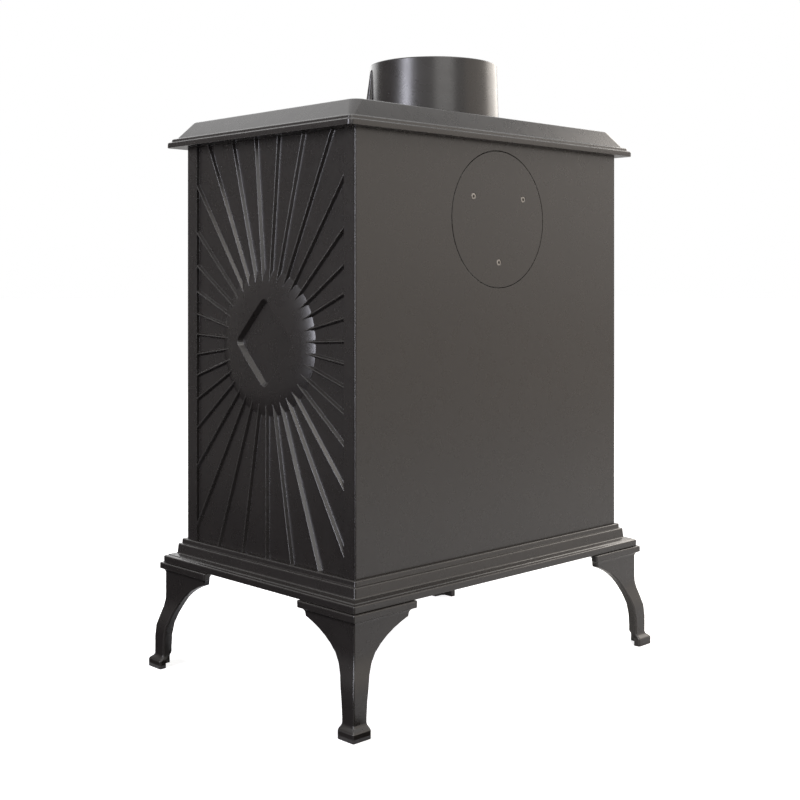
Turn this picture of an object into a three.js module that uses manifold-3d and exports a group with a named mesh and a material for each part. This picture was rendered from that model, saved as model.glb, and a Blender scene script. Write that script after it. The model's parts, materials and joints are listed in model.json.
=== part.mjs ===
// A small cast-iron box stove: moulded base on four cabriole legs, side panels cast with a
// sunburst round a lozenge medallion, a sloped hob with a round flue collar, a glazed fire door
// over an ash door. Millimetres, +Z up. The front faces -Y and the rear panel +Y.

import * as THREE from 'three';
import { mergeVertices } from 'three/addons/utils/BufferGeometryUtils.js';
import Module from 'manifold-3d';

const wasm = await Module();
wasm.setup();

// ---------------------------------------------------------------- driving dimensions

const GAP = 0.3; // between pieces that touch
const HALF_WIDTH = 212.25; // body, across the outer faces of the side panels
const HALF_DEPTH = 142.5; // body, from its middle to the rear panel's face
const FRONT_STEP = 2.3; // base and front legs stand this much further out at the front

const BASE_BOTTOM = 118.6;
const BASE_TOP = 145.5;
const HOB_BOTTOM = 590.5;
const HOB_TOP = 620;
const HOB_THICKNESS = 10;
const COLLAR_SEAT = HOB_TOP - 1; // the flue collar stands in a shallow recess
const PANEL_BOTTOM = BASE_TOP + GAP;
const PANEL_TOP = HOB_BOTTOM - GAP;

const PANEL_INNER = 203; // inner face of the side panels
const REAR_THICKNESS = 8;
const REAR_INNER = HALF_DEPTH - REAR_THICKNESS;
const REAR_LIP = 3.2; // its thin edges lap the ends of the side panels
const STRIP = 17.5; // plain strip along each upright edge of a side panel
const FIELD_DEPTH = 3.6; // the sunburst's field lies this far below the strips

const SUN_HEIGHT = 373.5; // centre of the sunburst above the floor
const RAY_COUNT = 35;
const RAY_CREST = 0.9; // half its width
const RAY_FLUSH = 0.2; // its crest lies this little below the strips
const MEDALLION_RADIUS = 78.4;
const MEDALLION_RISE = 6; // above the sunburst's field
const MEDALLION_POWER = 4.9; // how flat its middle is and how steep its rim
const LOZENGE_REACH = 47.5; // centre to rounded corner
const LOZENGE_DEPTH = 6;

const LEG_THICKNESS = 8;
const LEG_TOP = BASE_BOTTOM - GAP;
const FOOT_REACH = 31; // foot's outer corner beyond the body's corner
const ANKLE_REACH = 26;
const KNEE_REACH = 17.3;
const CAPITAL_REACH = 22;
const CAPITAL_LENGTH = 65; // how far the capital runs in from the body's corner

const FRAME_FRONT = -(HALF_DEPTH + 3);
const FRAME_BACK = FRAME_FRONT + 9;
const DOOR_BACK = FRAME_FRONT - 0.8;
const DOOR_FRONT = DOOR_BACK - 12;
const DOOR_HALF = 174;
const OPENING_HALF = 158;
const FIRE_DOOR = { bottom: 264, top: 516 };
const ASH_DOOR = { bottom: 158, top: 256 };
const FIRE_OPENING = { bottom: 278, top: 502 };
const ASH_OPENING = { bottom: 172, top: 242 };
const WINDOW = { half: 120, bottom: 302, top: 482, radius: 12 };
const GLASS_MARGIN = 10;
const GLASS_THICKNESS = 4;
const REBATE_DEPTH = 6;
const ROPE_INSET = 6.8;
const ROPE_WIDTH = 7.2;

const PIN = { x: 193, y: -156 }; // upright axis of both doors' hinges
const PIN_RADIUS = 2.6;
const KNUCKLE_RADIUS = 6;
const HINGES = {
  fire_upper: { knuckle: [449.7, 459.8], lug: [460.1, 467.2] },
  fire_lower: { knuckle: [324.6, 334.1], lug: [312.1, 324.3] },
  ash_upper: { knuckle: [217.3, 226.6], lug: [226.9, 234.7] },
  ash_lower: { knuckle: [191.9, 203.4], lug: [182.6, 191.6] },
};

const LATCH_X = -146;
const FIRE_LATCH_Z = 390;
const ASH_LATCH_Z = 207;

const FLUE = { y: 41.7, bore: 68, top: 66 + HOB_TOP, baseRadius: 75.6, topRadius: 73.3 };
const COLLAR_BOSSES = [-28, 208]; // degrees round the collar
const BOSS_RADIUS = 7.6;
const OUTLET = { z: 506.7, radius: 75, bore: 60 };
const OUTLET_SCREW_CIRCLE = 47.2;

const RUNNER_TOP = 174; // the ash pan slides in on two runners of the base
const GRATE_BOTTOM = 262;
const GRATE_TOP = 270;
const BRICK_THICKNESS = 25;
const BAFFLE_REAR = 440;
const BAFFLE_FRONT_Y = -75;
const BAFFLE_SLOPE = 0.26;
const TIE_ROD = { x: 197, front: -127, rear: 126 };
const RIDDLE_ROD = { x: -187, z: 256.5 };
const AIR_SLIDE_Z = 548;
const SLIDE_TRAVEL = 22;
const ASH_SLIDE_Z = 207;

// ---------------------------------------------------------------- helpers

function merged(geometry) {
  const bare = geometry.index ? geometry.toNonIndexed() : geometry.clone();
  bare.deleteAttribute('normal');
  bare.deleteAttribute('uv');
  return mergeVertices(bare, 1e-4);
}

function solid(geometry) {
  const mesh = merged(geometry);
  const vertProperties = new Float32Array(mesh.attributes.position.array);
  const triVerts = new Uint32Array(mesh.index.array);
  return new wasm.Manifold(new wasm.Mesh({ numProp: 3, vertProperties, triVerts }));
}

function toGeometry(body) {
  const mesh = body.getMesh();
  const geometry = new THREE.BufferGeometry();
  geometry.setAttribute('position', new THREE.BufferAttribute(new Float32Array(mesh.vertProperties), 3));
  geometry.setIndex(new THREE.BufferAttribute(new Uint32Array(mesh.triVerts), 1));
  return geometry;
}

function joined(bodies) {
  return bodies.reduce((whole, body) => whole.add(body));
}

function without(body, cutters) {
  return cutters.reduce((rest, cutter) => rest.subtract(cutter), body);
}

function signedVolume(positions, index) {
  const [a, b, c] = [new THREE.Vector3(), new THREE.Vector3(), new THREE.Vector3()];
  let volume = 0;
  for (let i = 0; i < index.length; i += 3) {
    a.fromArray(positions, 3 * index[i]);
    b.fromArray(positions, 3 * index[i + 1]);
    c.fromArray(positions, 3 * index[i + 2]);
    volume += a.dot(b.cross(c)) / 6;
  }
  return volume;
}

// Triangles of a ring's cap, wound with the ring or against it.
function capTriangles(ring, flatten, offset, against) {
  const outline = ring.map(flatten);
  const turn = Math.sign(THREE.ShapeUtils.area(outline));
  return THREE.ShapeUtils.triangulateShape(outline, []).flatMap((corners) => {
    const own = Math.sign(THREE.ShapeUtils.area(corners.map((i) => outline[i])));
    const flip = (own === turn) === against;
    const wound = flip ? [...corners].reverse() : corners;
    return wound.map((i) => i + offset);
  });
}

const flatXY = (p) => new THREE.Vector2(p.x, p.y);
const flatXZ = (p) => new THREE.Vector2(p.x, p.z);
const flatYZ = (p) => new THREE.Vector2(p.y, p.z);

// Skins a row of rings that have the same number of points, and caps both ends. flatten turns a
// point into the plane in which a cap is triangulated. Without it the last ring joins the first.
function loft(rings, flatten) {
  const count = rings[0].length;
  const positions = rings.flat().flatMap((p) => [p.x, p.y, p.z]);
  const index = [];
  const spans = flatten ? rings.length - 1 : rings.length;
  for (let row = 0; row < spans; row++) {
    const next = (row + 1) % rings.length;
    for (let i = 0; i < count; i++) {
      const j = (i + 1) % count;
      const [a, b, c, d] = [row * count + i, row * count + j, next * count + j, next * count + i];
      index.push(a, b, c, a, c, d);
    }
  }
  if (flatten) {
    index.push(...capTriangles(rings[0], flatten, 0, true));
    index.push(...capTriangles(rings.at(-1), flatten, (rings.length - 1) * count, false));
  }
  if (signedVolume(positions, index) < 0) {
    index.reverse();
  }
  const geometry = new THREE.BufferGeometry();
  geometry.setAttribute('position', new THREE.Float32BufferAttribute(positions, 3));
  geometry.setIndex(index);
  return geometry;
}

// Points round a rounded rectangle [u0, v0, u1, v1]; put places each of them in space.
function roundedRing([u0, v0, u1, v1], radius, steps, put) {
  const corners = [[u1 - radius, v1 - radius], [u0 + radius, v1 - radius],
    [u0 + radius, v0 + radius], [u1 - radius, v0 + radius]];
  return corners.flatMap(([u, v], quarter) => Array.from({ length: steps + 1 }, (_, i) => {
    const angle = (quarter + i / steps) * Math.PI / 2;
    return new THREE.Vector3(...put(u + radius * Math.cos(angle), v + radius * Math.sin(angle)));
  }));
}

function mirrored(geometry, x, y) {
  const copy = merged(geometry).scale(x, y, 1);
  if (x * y < 0) {
    copy.setIndex([...copy.index.array].reverse());
  }
  return copy;
}

// Outlines. A shape for plan() is drawn in X and Y, for elevation() in X and Z, and for
// section() in Y and Z.
function outline(points) {
  return new THREE.Shape(points.map(([u, v]) => new THREE.Vector2(u, v)));
}

function roundedRect(u0, v0, u1, v1, radius) {
  const shape = new THREE.Shape();
  shape.absarc(u1 - radius, v1 - radius, radius, 0, Math.PI / 2);
  shape.absarc(u0 + radius, v1 - radius, radius, Math.PI / 2, Math.PI);
  shape.absarc(u0 + radius, v0 + radius, radius, Math.PI, 1.5 * Math.PI);
  shape.absarc(u1 - radius, v0 + radius, radius, 1.5 * Math.PI, 2 * Math.PI);
  return shape;
}

function extruded(shape, depth, curveSegments) {
  return new THREE.ExtrudeGeometry(shape, { depth, curveSegments, bevelEnabled: false });
}

function plan(shape, z0, z1, curveSegments = 2) {
  return solid(extruded(shape, z1 - z0, curveSegments).translate(0, 0, z0));
}

function elevation(shape, y0, y1, curveSegments = 2) {
  return solid(extruded(shape, y1 - y0, curveSegments).rotateX(Math.PI / 2).translate(0, y1, 0));
}

function section(shape, x0, x1, curveSegments = 2) {
  const turn = new THREE.Matrix4().makeBasis(
    new THREE.Vector3(0, 1, 0), new THREE.Vector3(0, 0, 1), new THREE.Vector3(1, 0, 0));
  return solid(extruded(shape, x1 - x0, curveSegments).applyMatrix4(turn).translate(x0, 0, 0));
}

// Turned pieces: profile points are [radius, distance along the axis].
function turned(profile, segments) {
  return new THREE.LatheGeometry(profile.map(([r, a]) => new THREE.Vector2(r, a)), segments);
}

function turnedUpright(profile, x, y, segments = 24) {
  return solid(turned(profile, segments).rotateX(Math.PI / 2).translate(x, y, 0));
}

function turnedAlongY(profile, x, z, segments = 24) {
  return solid(turned(profile, segments).translate(x, 0, z));
}

function uprightRod(x, y, radius, z0, z1, segments = 16) {
  return turnedUpright([[0, z0], [radius, z0], [radius, z1], [0, z1]], x, y, segments);
}

function rodAlongY(x, z, radius, y0, y1, segments = 16) {
  return turnedAlongY([[0, y0], [radius, y0], [radius, y1], [0, y1]], x, z, segments);
}

const metal = {
  castIron: { color: '#3a3836', roughness: 0.55, metalness: 0.4 },
  steel: { color: '#8b8a88', roughness: 0.4, metalness: 0.9 },
  blackSteel: { color: '#2b2a2a', roughness: 0.45, metalness: 0.8 },
  glass: { color: '#2a211b', roughness: 0.05, metalness: 0, transparent: true, opacity: 0.35 },
  brick: { color: '#c9b48c', roughness: 0.95, metalness: 0 },
  rope: { color: '#3d3d3f', roughness: 0.95, metalness: 0 },
};

const stove = new THREE.Group();

function add(name, body, finish = metal.castIron) {
  const geometry = toGeometry(body);
  const mesh = new THREE.Mesh(geometry, new THREE.MeshStandardMaterial(finish));
  mesh.name = name;
  stove.add(mesh);
}

// ---------------------------------------------------------------- base, hob and their mouldings

// A level ring round the body, reaching out from its sides, its rear and its front.
function bodyRing(z, [side, rear, front], radius, steps) {
  const x = HALF_WIDTH + side;
  const sides = [-x, -HALF_DEPTH - front, x, HALF_DEPTH + rear];
  return roundedRing(sides, radius, steps, (u, v) => [u, v, z]);
}

// Profiles are rows of [height, reach]. The base is a stepped moulding.
const BASE_PROFILE = [
  [118.6, 18.9], [125.2, 18.9], [125.9, 18.2], [126.6, 15.4], [127.4, 14.8], [128.8, 8.6],
  [129.6, 8.0], [139.2, 7.2], [139.9, 6.5], [140.3, 4.2], [144.7, 4.0], [145.5, 3.2],
];

function addBase() {
  const moulding = BASE_PROFILE.map(([z, e]) => bodyRing(z, [e, e, e + FRONT_STEP], 2, 3));
  const pad = 46; // solid corners for the leg bolts and tie rods
  const wall = 2;
  const [x, y] = [HALF_WIDTH - wall, HALF_DEPTH - wall];
  const hollow = outline([
    [x, y - pad], [x - pad, y - pad], [x - pad, y], [pad - x, y], [pad - x, y - pad], [-x, y - pad],
    [-x, pad - y], [pad - x, pad - y], [pad - x, -y], [x - pad, -y], [x - pad, pad - y], [x, pad - y],
  ]);
  const runner = outline([
    [-128, BASE_TOP - 1], [120, BASE_TOP - 1], [120, RUNNER_TOP - 4], [116, RUNNER_TOP],
    [-122, RUNNER_TOP], [-128, RUNNER_TOP - 8],
  ]);
  const body = joined([
    solid(loft(moulding, flatXY)),
    section(runner, -104, -96),
    section(runner, 96, 104),
  ]);
  const cuts = [plan(hollow, BASE_BOTTOM - 5, 137.5)];
  for (const sx of [1, -1]) {
    for (const y of [TIE_ROD.front, TIE_ROD.rear]) {
      cuts.push(uprightRod(sx * TIE_ROD.x, y, 4.6, 120, BASE_TOP + 5, 8));
      cuts.push(uprightRod(sx * TIE_ROD.x, y, 9.8, BASE_BOTTOM - 5, 128, 8));
    }
  }
  for (const { x: bx, y: by } of Object.values(LEG_BOLTS)) {
    cuts.push(uprightRod(bx, by, 4.6, BASE_BOTTOM - 5, 131, 8));
  }
  add('base_plate', without(body, cuts));
}

const HOB_PROFILE = [
  [590.5, 0], [595.9, 0], [596.6, 0.9], [597.2, 3.2], [599.8, 3.5], [600.4, 4.2], [601.4, 8],
];
const HOB_OVERHANG = [18.5, 12.9, 16.5]; // side, rear, front
const HOB_FLAT = [-4.6, -5.2, -0.3]; // where slope and flat top meet, from the body's faces
const HOB_EDGE = [[1.3, 1.05], [0.34, -0.16], [0, -1.67]]; // its rounding: below the top, reach
const HOB_CORNERS = { band: 5, top: 10 }; // the slope's corners widen towards the top

function addHob() {
  const { band, top } = HOB_CORNERS;
  const steps = 4;
  const rings = HOB_PROFILE.map(([z, inset]) => {
    return bodyRing(z, HOB_OVERHANG.map((e) => e - inset), band, steps);
  });
  rings.push(...HOB_EDGE.map(([below, reach]) => {
    return bodyRing(HOB_TOP - below, HOB_FLAT.map((e) => e + reach), top, steps);
  }));
  const cuts = [
    plan(roundedRect(-188, -124, 188, 121, 14), HOB_BOTTOM - 5, HOB_TOP - HOB_THICKNESS, 1),
    uprightRod(0, FLUE.y, FLUE.bore - 2, 600, HOB_TOP + 5, 40),
    uprightRod(0, FLUE.y, FLUE.baseRadius + 0.8, COLLAR_SEAT, HOB_TOP + 5, 48),
  ];
  for (const sx of [1, -1]) {
    for (const y of [TIE_ROD.front, TIE_ROD.rear]) {
      cuts.push(uprightRod(sx * TIE_ROD.x, y, 4.6, HOB_BOTTOM - 5, 603, 8));
    }
  }
  for (const { x, y } of collarBoltPlaces()) {
    cuts.push(uprightRod(x, y, 3.4, 600, HOB_TOP + 5, 8));
    cuts.push(uprightRod(x, y, BOSS_RADIUS + 0.8, COLLAR_SEAT, HOB_TOP + 5, 16));
  }
  add('hob', without(solid(loft(rings, flatXY)), cuts));
}

// ---------------------------------------------------------------- cabriole legs

// The wings' lower edges follow a bracket curve, from the capital in to the ankle.
const BRACKET = new THREE.CubicBezierCurve(
  new THREE.Vector2(-57, 103.5), new THREE.Vector2(-22, 92),
  new THREE.Vector2(7.5, 70), new THREE.Vector2(7.8, 20));

// How far the leg's outer corner stands beyond the body's corner.
function legReach(z) {
  return THREE.MathUtils.lerp(ANKLE_REACH, KNEE_REACH, THREE.MathUtils.smoothstep(z, 38, 80));
}

// One L-shaped ring of the leg: reach is its outer corner, end is where the wings stop.
function legRing(z, reach, end, thickness = LEG_THICKNESS) {
  const inner = reach - thickness;
  const soft = 1.5;
  const points = [
    [reach - soft, reach], [reach - 0.45, reach - 0.45], [reach, reach - soft],
    [reach, end + soft], [reach - soft, end], [inner, end],
    [inner, inner - 3], [inner - 3, inner],
    [end, inner], [end, reach - soft], [end + soft, reach],
  ];
  return points.map(([u, v]) => new THREE.Vector3(u, v, z));
}

function legSolid() {
  const bracket = BRACKET.getPoints(10).reverse();
  const rings = [
    legRing(0, FOOT_REACH, 7),
    legRing(8.6, FOOT_REACH, 7),
    legRing(10.4, 29.6, 7.2),
    legRing(12.4, 27, 7.6),
    legRing(14.6, ANKLE_REACH, 7.8),
    ...bracket.map((p) => legRing(p.y, legReach(p.y), p.x)),
    legRing(106.3, KNEE_REACH, -57.6),
    legRing(108.2, 17.6, -58.2),
    legRing(110, 18.6, -59.8),
    legRing(111, 20.1, -62.4),
    legRing(111.4, CAPITAL_REACH, 0.4 - CAPITAL_LENGTH),
    legRing(LEG_TOP - 0.6, CAPITAL_REACH, -CAPITAL_LENGTH),
    legRing(LEG_TOP, CAPITAL_REACH - 0.5, 0.5 - CAPITAL_LENGTH),
  ];
  const inside = CAPITAL_REACH - LEG_THICKNESS + 1;
  const web = outline([[inside, inside], [-54, inside], [-54, 8], [8, -54], [inside, -54]]);
  const gusset = plan(web, 109, LEG_TOP);
  const boltHole = uprightRod(0, 0, 4.6, 100, 125, 8);
  return solid(loft(rings, flatXY)).add(gusset).subtract(boltHole);
}

const LEG_CORNERS = {
  front_right: [1, -1],
  front_left: [-1, -1],
  rear_right: [1, 1],
  rear_left: [-1, 1],
};
const legCentre = (sy) => (sy < 0 ? -FRONT_STEP : 0);
const LEG_BOLTS = Object.fromEntries(Object.entries(LEG_CORNERS).map(([corner, [sx, sy]]) => [corner, {
  x: sx * HALF_WIDTH,
  y: sy * HALF_DEPTH + legCentre(sy),
}]));

function addLegs() {
  const leg = toGeometry(legSolid());
  for (const [corner, [sx, sy]] of Object.entries(LEG_CORNERS)) {
    const placed = mirrored(leg, sx, sy).translate(sx * HALF_WIDTH, sy * HALF_DEPTH + legCentre(sy), 0);
    add(`leg_${corner}`, solid(placed));
    const { x, y } = LEG_BOLTS[corner];
    add(`leg_bolt_${corner}`, hexBolt(x, y, 109 - GAP, 7, 5.5, 4, 130), metal.blackSteel);
  }
}

// A hexagon-headed bolt pointing up: the head's top face is at seat.
function hexBolt(x, y, seat, headRadius, headHeight, radius, tip) {
  const base = seat - headHeight;
  const head = turned([[0, base], [headRadius - 0.8, base], [headRadius, base + 0.6],
    [headRadius, seat], [0, seat]], 6).rotateX(Math.PI / 2).translate(x, y, 0);
  return solid(head).add(uprightRod(x, y, radius, seat - 1, tip, 8));
}

// ---------------------------------------------------------------- side panels with the sunburst

const FIELD = HALF_WIDTH - FIELD_DEPTH;
const FIELD_FRONT = STRIP - HALF_DEPTH;
const FIELD_REAR = HALF_DEPTH - STRIP;

// One ray: a low, narrow ridge with steep flanks, which spreads a little as it goes out.
function ray(angle) {
  const along = new THREE.Vector3(0, Math.cos(angle), Math.sin(angle));
  const across = new THREE.Vector3(0, -Math.sin(angle), Math.cos(angle));
  const sideways = (FIELD_REAR + 3) / Math.abs(along.y);
  const upright = (along.z > 0 ? PANEL_TOP - SUN_HEIGHT : SUN_HEIGHT - PANEL_BOTTOM) + 5;
  const reach = Math.min(sideways, upright / Math.abs(along.z));
  const ring = (distance) => {
    const foot = 2.9 + 0.0028 * distance;
    const top = HALF_WIDTH - RAY_FLUSH;
    const corners = [[-foot, FIELD - 1], [-RAY_CREST, top], [RAY_CREST, top], [foot, FIELD - 1]];
    return corners.map(([side, x]) => new THREE.Vector3(x, 0, SUN_HEIGHT)
      .addScaledVector(along, distance).addScaledVector(across, side));
  };
  return solid(loft([ring(50), ring(reach)], (p) => new THREE.Vector2(p.dot(across), p.x)));
}

function lozengeRing(x, reach) {
  const radius = 7;
  const middle = reach - radius;
  return [0, 1, 2, 3].flatMap((quarter) => [-1, -0.33, 0.33, 1].map((step) => {
    const [out, turn] = [quarter * Math.PI / 2, (quarter + step / 2) * Math.PI / 2];
    return new THREE.Vector3(
      x,
      middle * Math.cos(out) + radius * Math.cos(turn),
      SUN_HEIGHT + middle * Math.sin(out) + radius * Math.sin(turn));
  }));
}

function sunburstPanel() {
  const rearEnd = HALF_DEPTH - REAR_LIP - GAP;
  const profile = outline([
    [PANEL_INNER, -HALF_DEPTH], [HALF_WIDTH - 1, -HALF_DEPTH], [HALF_WIDTH, 1 - HALF_DEPTH],
    [HALF_WIDTH, FIELD_FRONT - 0.4], [FIELD, FIELD_FRONT + 0.4], [FIELD, FIELD_REAR - 0.4],
    [HALF_WIDTH, FIELD_REAR + 0.4], [HALF_WIDTH, rearEnd], [PANEL_INNER, rearEnd],
  ]);
  const plate = plan(profile, PANEL_BOTTOM, PANEL_TOP);
  const step = 2 * Math.PI / RAY_COUNT;
  const rays = Array.from({ length: RAY_COUNT }, (_, i) => ray(-Math.PI / 2 + i * step));
  const bounds = section(outline([
    [-HALF_DEPTH, PANEL_BOTTOM], [rearEnd, PANEL_BOTTOM], [rearEnd, PANEL_TOP], [-HALF_DEPTH, PANEL_TOP],
  ]), 190, 230);
  const rise = FIELD + MEDALLION_RISE;
  const rings = 4;
  const crown = Array.from({ length: rings + 1 }, (_, i) => {
    const share = Math.sqrt(1 - i / rings);
    return [share * MEDALLION_RADIUS, rise - MEDALLION_RISE * share ** MEDALLION_POWER];
  });
  const dome = turned([[0, FIELD - 2], [MEDALLION_RADIUS, FIELD - 2], ...crown], RAY_COUNT)
    .rotateZ(-Math.PI / 2).translate(0, 0, SUN_HEIGHT);
  const lozenge = loft([
    lozengeRing(rise - LOZENGE_DEPTH, LOZENGE_REACH - 2),
    lozengeRing(rise + 1, LOZENGE_REACH + 0.3),
  ], flatYZ);
  const ledge = section(roundedRect(-98, 253, 112, GRATE_BOTTOM - GAP, 3), 194, PANEL_INNER + 1);
  return joined([plate, joined(rays).intersect(bounds), solid(dome), ledge]).subtract(solid(lozenge));
}

function addSidePanels() {
  const panel = toGeometry(sunburstPanel());
  add('side_panel_right', solid(panel));
  add('side_panel_left', solid(mirrored(panel, -1, 1)));
}

// ---------------------------------------------------------------- rear panel and its flue outlet

function outletScrewPlaces() {
  return [30, 150, 270].map((degrees) => {
    const angle = THREE.MathUtils.degToRad(degrees);
    return [OUTLET_SCREW_CIRCLE * Math.cos(angle), OUTLET.z + OUTLET_SCREW_CIRCLE * Math.sin(angle)];
  });
}

function addRearPanel() {
  const [soft, lip, inside] = [1.4, HALF_DEPTH - REAR_LIP, PANEL_INNER - GAP];
  const half = [
    [inside, REAR_INNER], [inside, lip], [HALF_WIDTH, lip], [HALF_WIDTH, HALF_DEPTH - soft],
    [HALF_WIDTH - 0.42, HALF_DEPTH - 0.42], [HALF_WIDTH - soft, HALF_DEPTH],
  ];
  const otherHalf = half.map(([x, y]) => [-x, y]).reverse();
  const panel = plan(outline([...half, ...otherHalf]), PANEL_BOTTOM, PANEL_TOP);
  const seat = rodAlongY(0, OUTLET.z, OUTLET.radius + 0.5, HALF_DEPTH - 4, HALF_DEPTH + 5, 52);
  const hole = rodAlongY(0, OUTLET.z, OUTLET.bore, REAR_INNER - 5, HALF_DEPTH + 5, 32);
  const lugs = outletScrewPlaces().map(([x, z]) => {
    const out = new THREE.Vector2(x, z - OUTLET.z).normalize();
    const side = new THREE.Vector2(-out.y, out.x).multiplyScalar(9);
    const at = (distance, sign) => [
      out.x * distance + sign * side.x, OUTLET.z + out.y * distance + sign * side.y];
    const corners = [at(47, 1), at(47, -1), at(66, -1), at(66, 1)];
    const tongue = elevation(outline(corners), REAR_INNER, HALF_DEPTH - 4);
    return tongue.add(rodAlongY(x, z, 9, REAR_INNER, HALF_DEPTH - 4, 12));
  });
  const screwHoles = outletScrewPlaces().map(([x, z]) => {
    return rodAlongY(x, z, 2.6, REAR_INNER - 5, HALF_DEPTH, 8);
  });
  const opened = without(panel, [seat, hole]);
  add('rear_panel', without(joined([opened, ...lugs]), screwHoles));

  const face = HALF_DEPTH;
  const back = HALF_DEPTH - 4 + GAP;
  const plate = rodAlongY(0, OUTLET.z, OUTLET.radius, back, face, 52);
  const sinks = outletScrewPlaces().map(([x, z]) => turnedAlongY(
    [[0, back - 1], [2.6, back - 1], [2.6, face - 2.6], [5.4, face + 0.2], [0, face + 0.2]], x, z, 12));
  add('blanking_plate', without(plate, sinks));

  outletScrewPlaces().forEach(([x, z], i) => {
    const screw = turnedAlongY(
      [[0, 126], [2.1, 126], [2.1, face - 2.5], [4.2, face - 0.5], [0, face - 0.5]], x, z, 12);
    const socket = turnedAlongY([[0, face - 2], [1.5, face - 2], [1.5, face], [0, face]], x, z, 6);
    add(`blanking_plate_screw_${i + 1}`, screw.subtract(socket), metal.blackSteel);
  });
}

// ---------------------------------------------------------------- flue collar

function collarBoltPlaces() {
  return COLLAR_BOSSES.map((degrees) => {
    const angle = THREE.MathUtils.degToRad(degrees);
    const radius = FLUE.baseRadius + 0.6;
    return { x: radius * Math.cos(angle), y: FLUE.y + radius * Math.sin(angle) };
  });
}

function addFlueCollar() {
  const foot = COLLAR_SEAT + GAP;
  const wall = turnedUpright([
    [FLUE.bore, foot], [FLUE.baseRadius, foot], [FLUE.topRadius, FLUE.top - 1],
    [FLUE.topRadius - 1, FLUE.top], [FLUE.bore, FLUE.top], [FLUE.bore, foot],
  ], 0, FLUE.y, 48);
  const bore = uprightRod(0, FLUE.y, FLUE.bore + 0.5, foot - 5, FLUE.top + 5, 48);
  const bosses = collarBoltPlaces().map(({ x, y }) => {
    const towards = new THREE.Vector2(x, y - FLUE.y).normalize().multiplyScalar(-3.2);
    const cone = [[BOSS_RADIUS, foot, 0], [4.6, foot + 31, 0.5], [2.2, foot + 57, 1], [1.2, foot + 61, 1]];
    const rings = cone.map(([radius, z, lean]) => Array.from({ length: 12 }, (_, i) => {
      const angle = 2 * Math.PI * i / 12;
      const [cx, cy] = [x + lean * towards.x, y + lean * towards.y];
      return new THREE.Vector3(cx + radius * Math.cos(angle), cy + radius * Math.sin(angle), z);
    }));
    return solid(loft(rings, flatXY)).subtract(bore);
  });
  const holes = collarBoltPlaces().map(({ x, y }) => uprightRod(x, y, 3.2, foot - 5, foot + 16, 8));
  add('flue_collar', without(joined([wall, ...bosses]), holes));
  collarBoltPlaces().forEach(({ x, y }, i) => {
    const bolt = hexBolt(x, y, HOB_TOP - HOB_THICKNESS - GAP, 5.8, 4, 2.8, foot + 15);
    add(`flue_collar_bolt_${i + 1}`, bolt, metal.blackSteel);
  });
}

// ---------------------------------------------------------------- front frame and door hinges

// An upright hinge part round the pin: a round eye with an arm to the piece that carries it.
function hingeEye([z0, z1], arm) {
  const eye = uprightRod(PIN.x, PIN.y, KNUCKLE_RADIUS, z0, z1, 14);
  const bore = uprightRod(PIN.x, PIN.y, PIN_RADIUS + GAP, z0 - 5, z1 + 5, 8);
  return eye.add(plan(outline(arm), z0, z1)).subtract(bore);
}

const LUG_ARM = [
  [PIN.x - KNUCKLE_RADIUS, PIN.y], [PIN.x + KNUCKLE_RADIUS, PIN.y],
  [PIN.x + KNUCKLE_RADIUS + 1.5, FRAME_FRONT + 1], [PIN.x - KNUCKLE_RADIUS - 1.5, FRAME_FRONT + 1],
];
const KNUCKLE_ARM = [
  [DOOR_HALF - 6, DOOR_FRONT + 2.5], [PIN.x, PIN.y - KNUCKLE_RADIUS + 0.2],
  [PIN.x, PIN.y + KNUCKLE_RADIUS - 0.2], [DOOR_HALF - 6, DOOR_BACK - 1],
];

function airSlots(z, halfHeight) {
  return [-44, 0, 44].map((x) => {
    return roundedRect(x - 10, z - halfHeight, x + 10, z + halfHeight, halfHeight - 0.1);
  });
}

// Two cast rails with lips, between which an air slide runs.
function slideRails(face, z, halfLength, halfHeight) {
  const rail = (sign) => outline([
    [face + 1, z + sign * (halfHeight + GAP)], [face - 3.4, z + sign * (halfHeight + GAP)],
    [face - 3.4, z + sign * (halfHeight - 2)], [face - 5, z + sign * (halfHeight - 1)],
    [face - 5, z + sign * (halfHeight + 3)], [face + 1, z + sign * (halfHeight + 4)],
  ]);
  return [1, -1].map((sign) => section(rail(sign), -halfLength, halfLength));
}

// The slide is shut at rest. Moved along by its travel, its slots lie over the openings.
function airSlide(face, z, halfHeight) {
  const travel = SLIDE_TRAVEL;
  const plate = roundedRect(-74 - travel, z - halfHeight, 74, z + halfHeight, 2);
  plate.holes.push(...airSlots(z, halfHeight - 4).map((slot) => {
    return new THREE.Path(slot.getPoints(1).map((p) => new THREE.Vector2(p.x - travel, p.y)));
  }));
  return elevation(plate, face - 3.1, face - GAP, 1);
}

function slideKnob(x, z, face) {
  return turnedAlongY([[0, face - 18], [5.5, face - 18], [7, face - 16], [7, face - 13],
    [3.8, face - 8], [5, face - 3.1 - GAP], [0, face - 3.1 - GAP]], x, z, 16);
}

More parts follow.
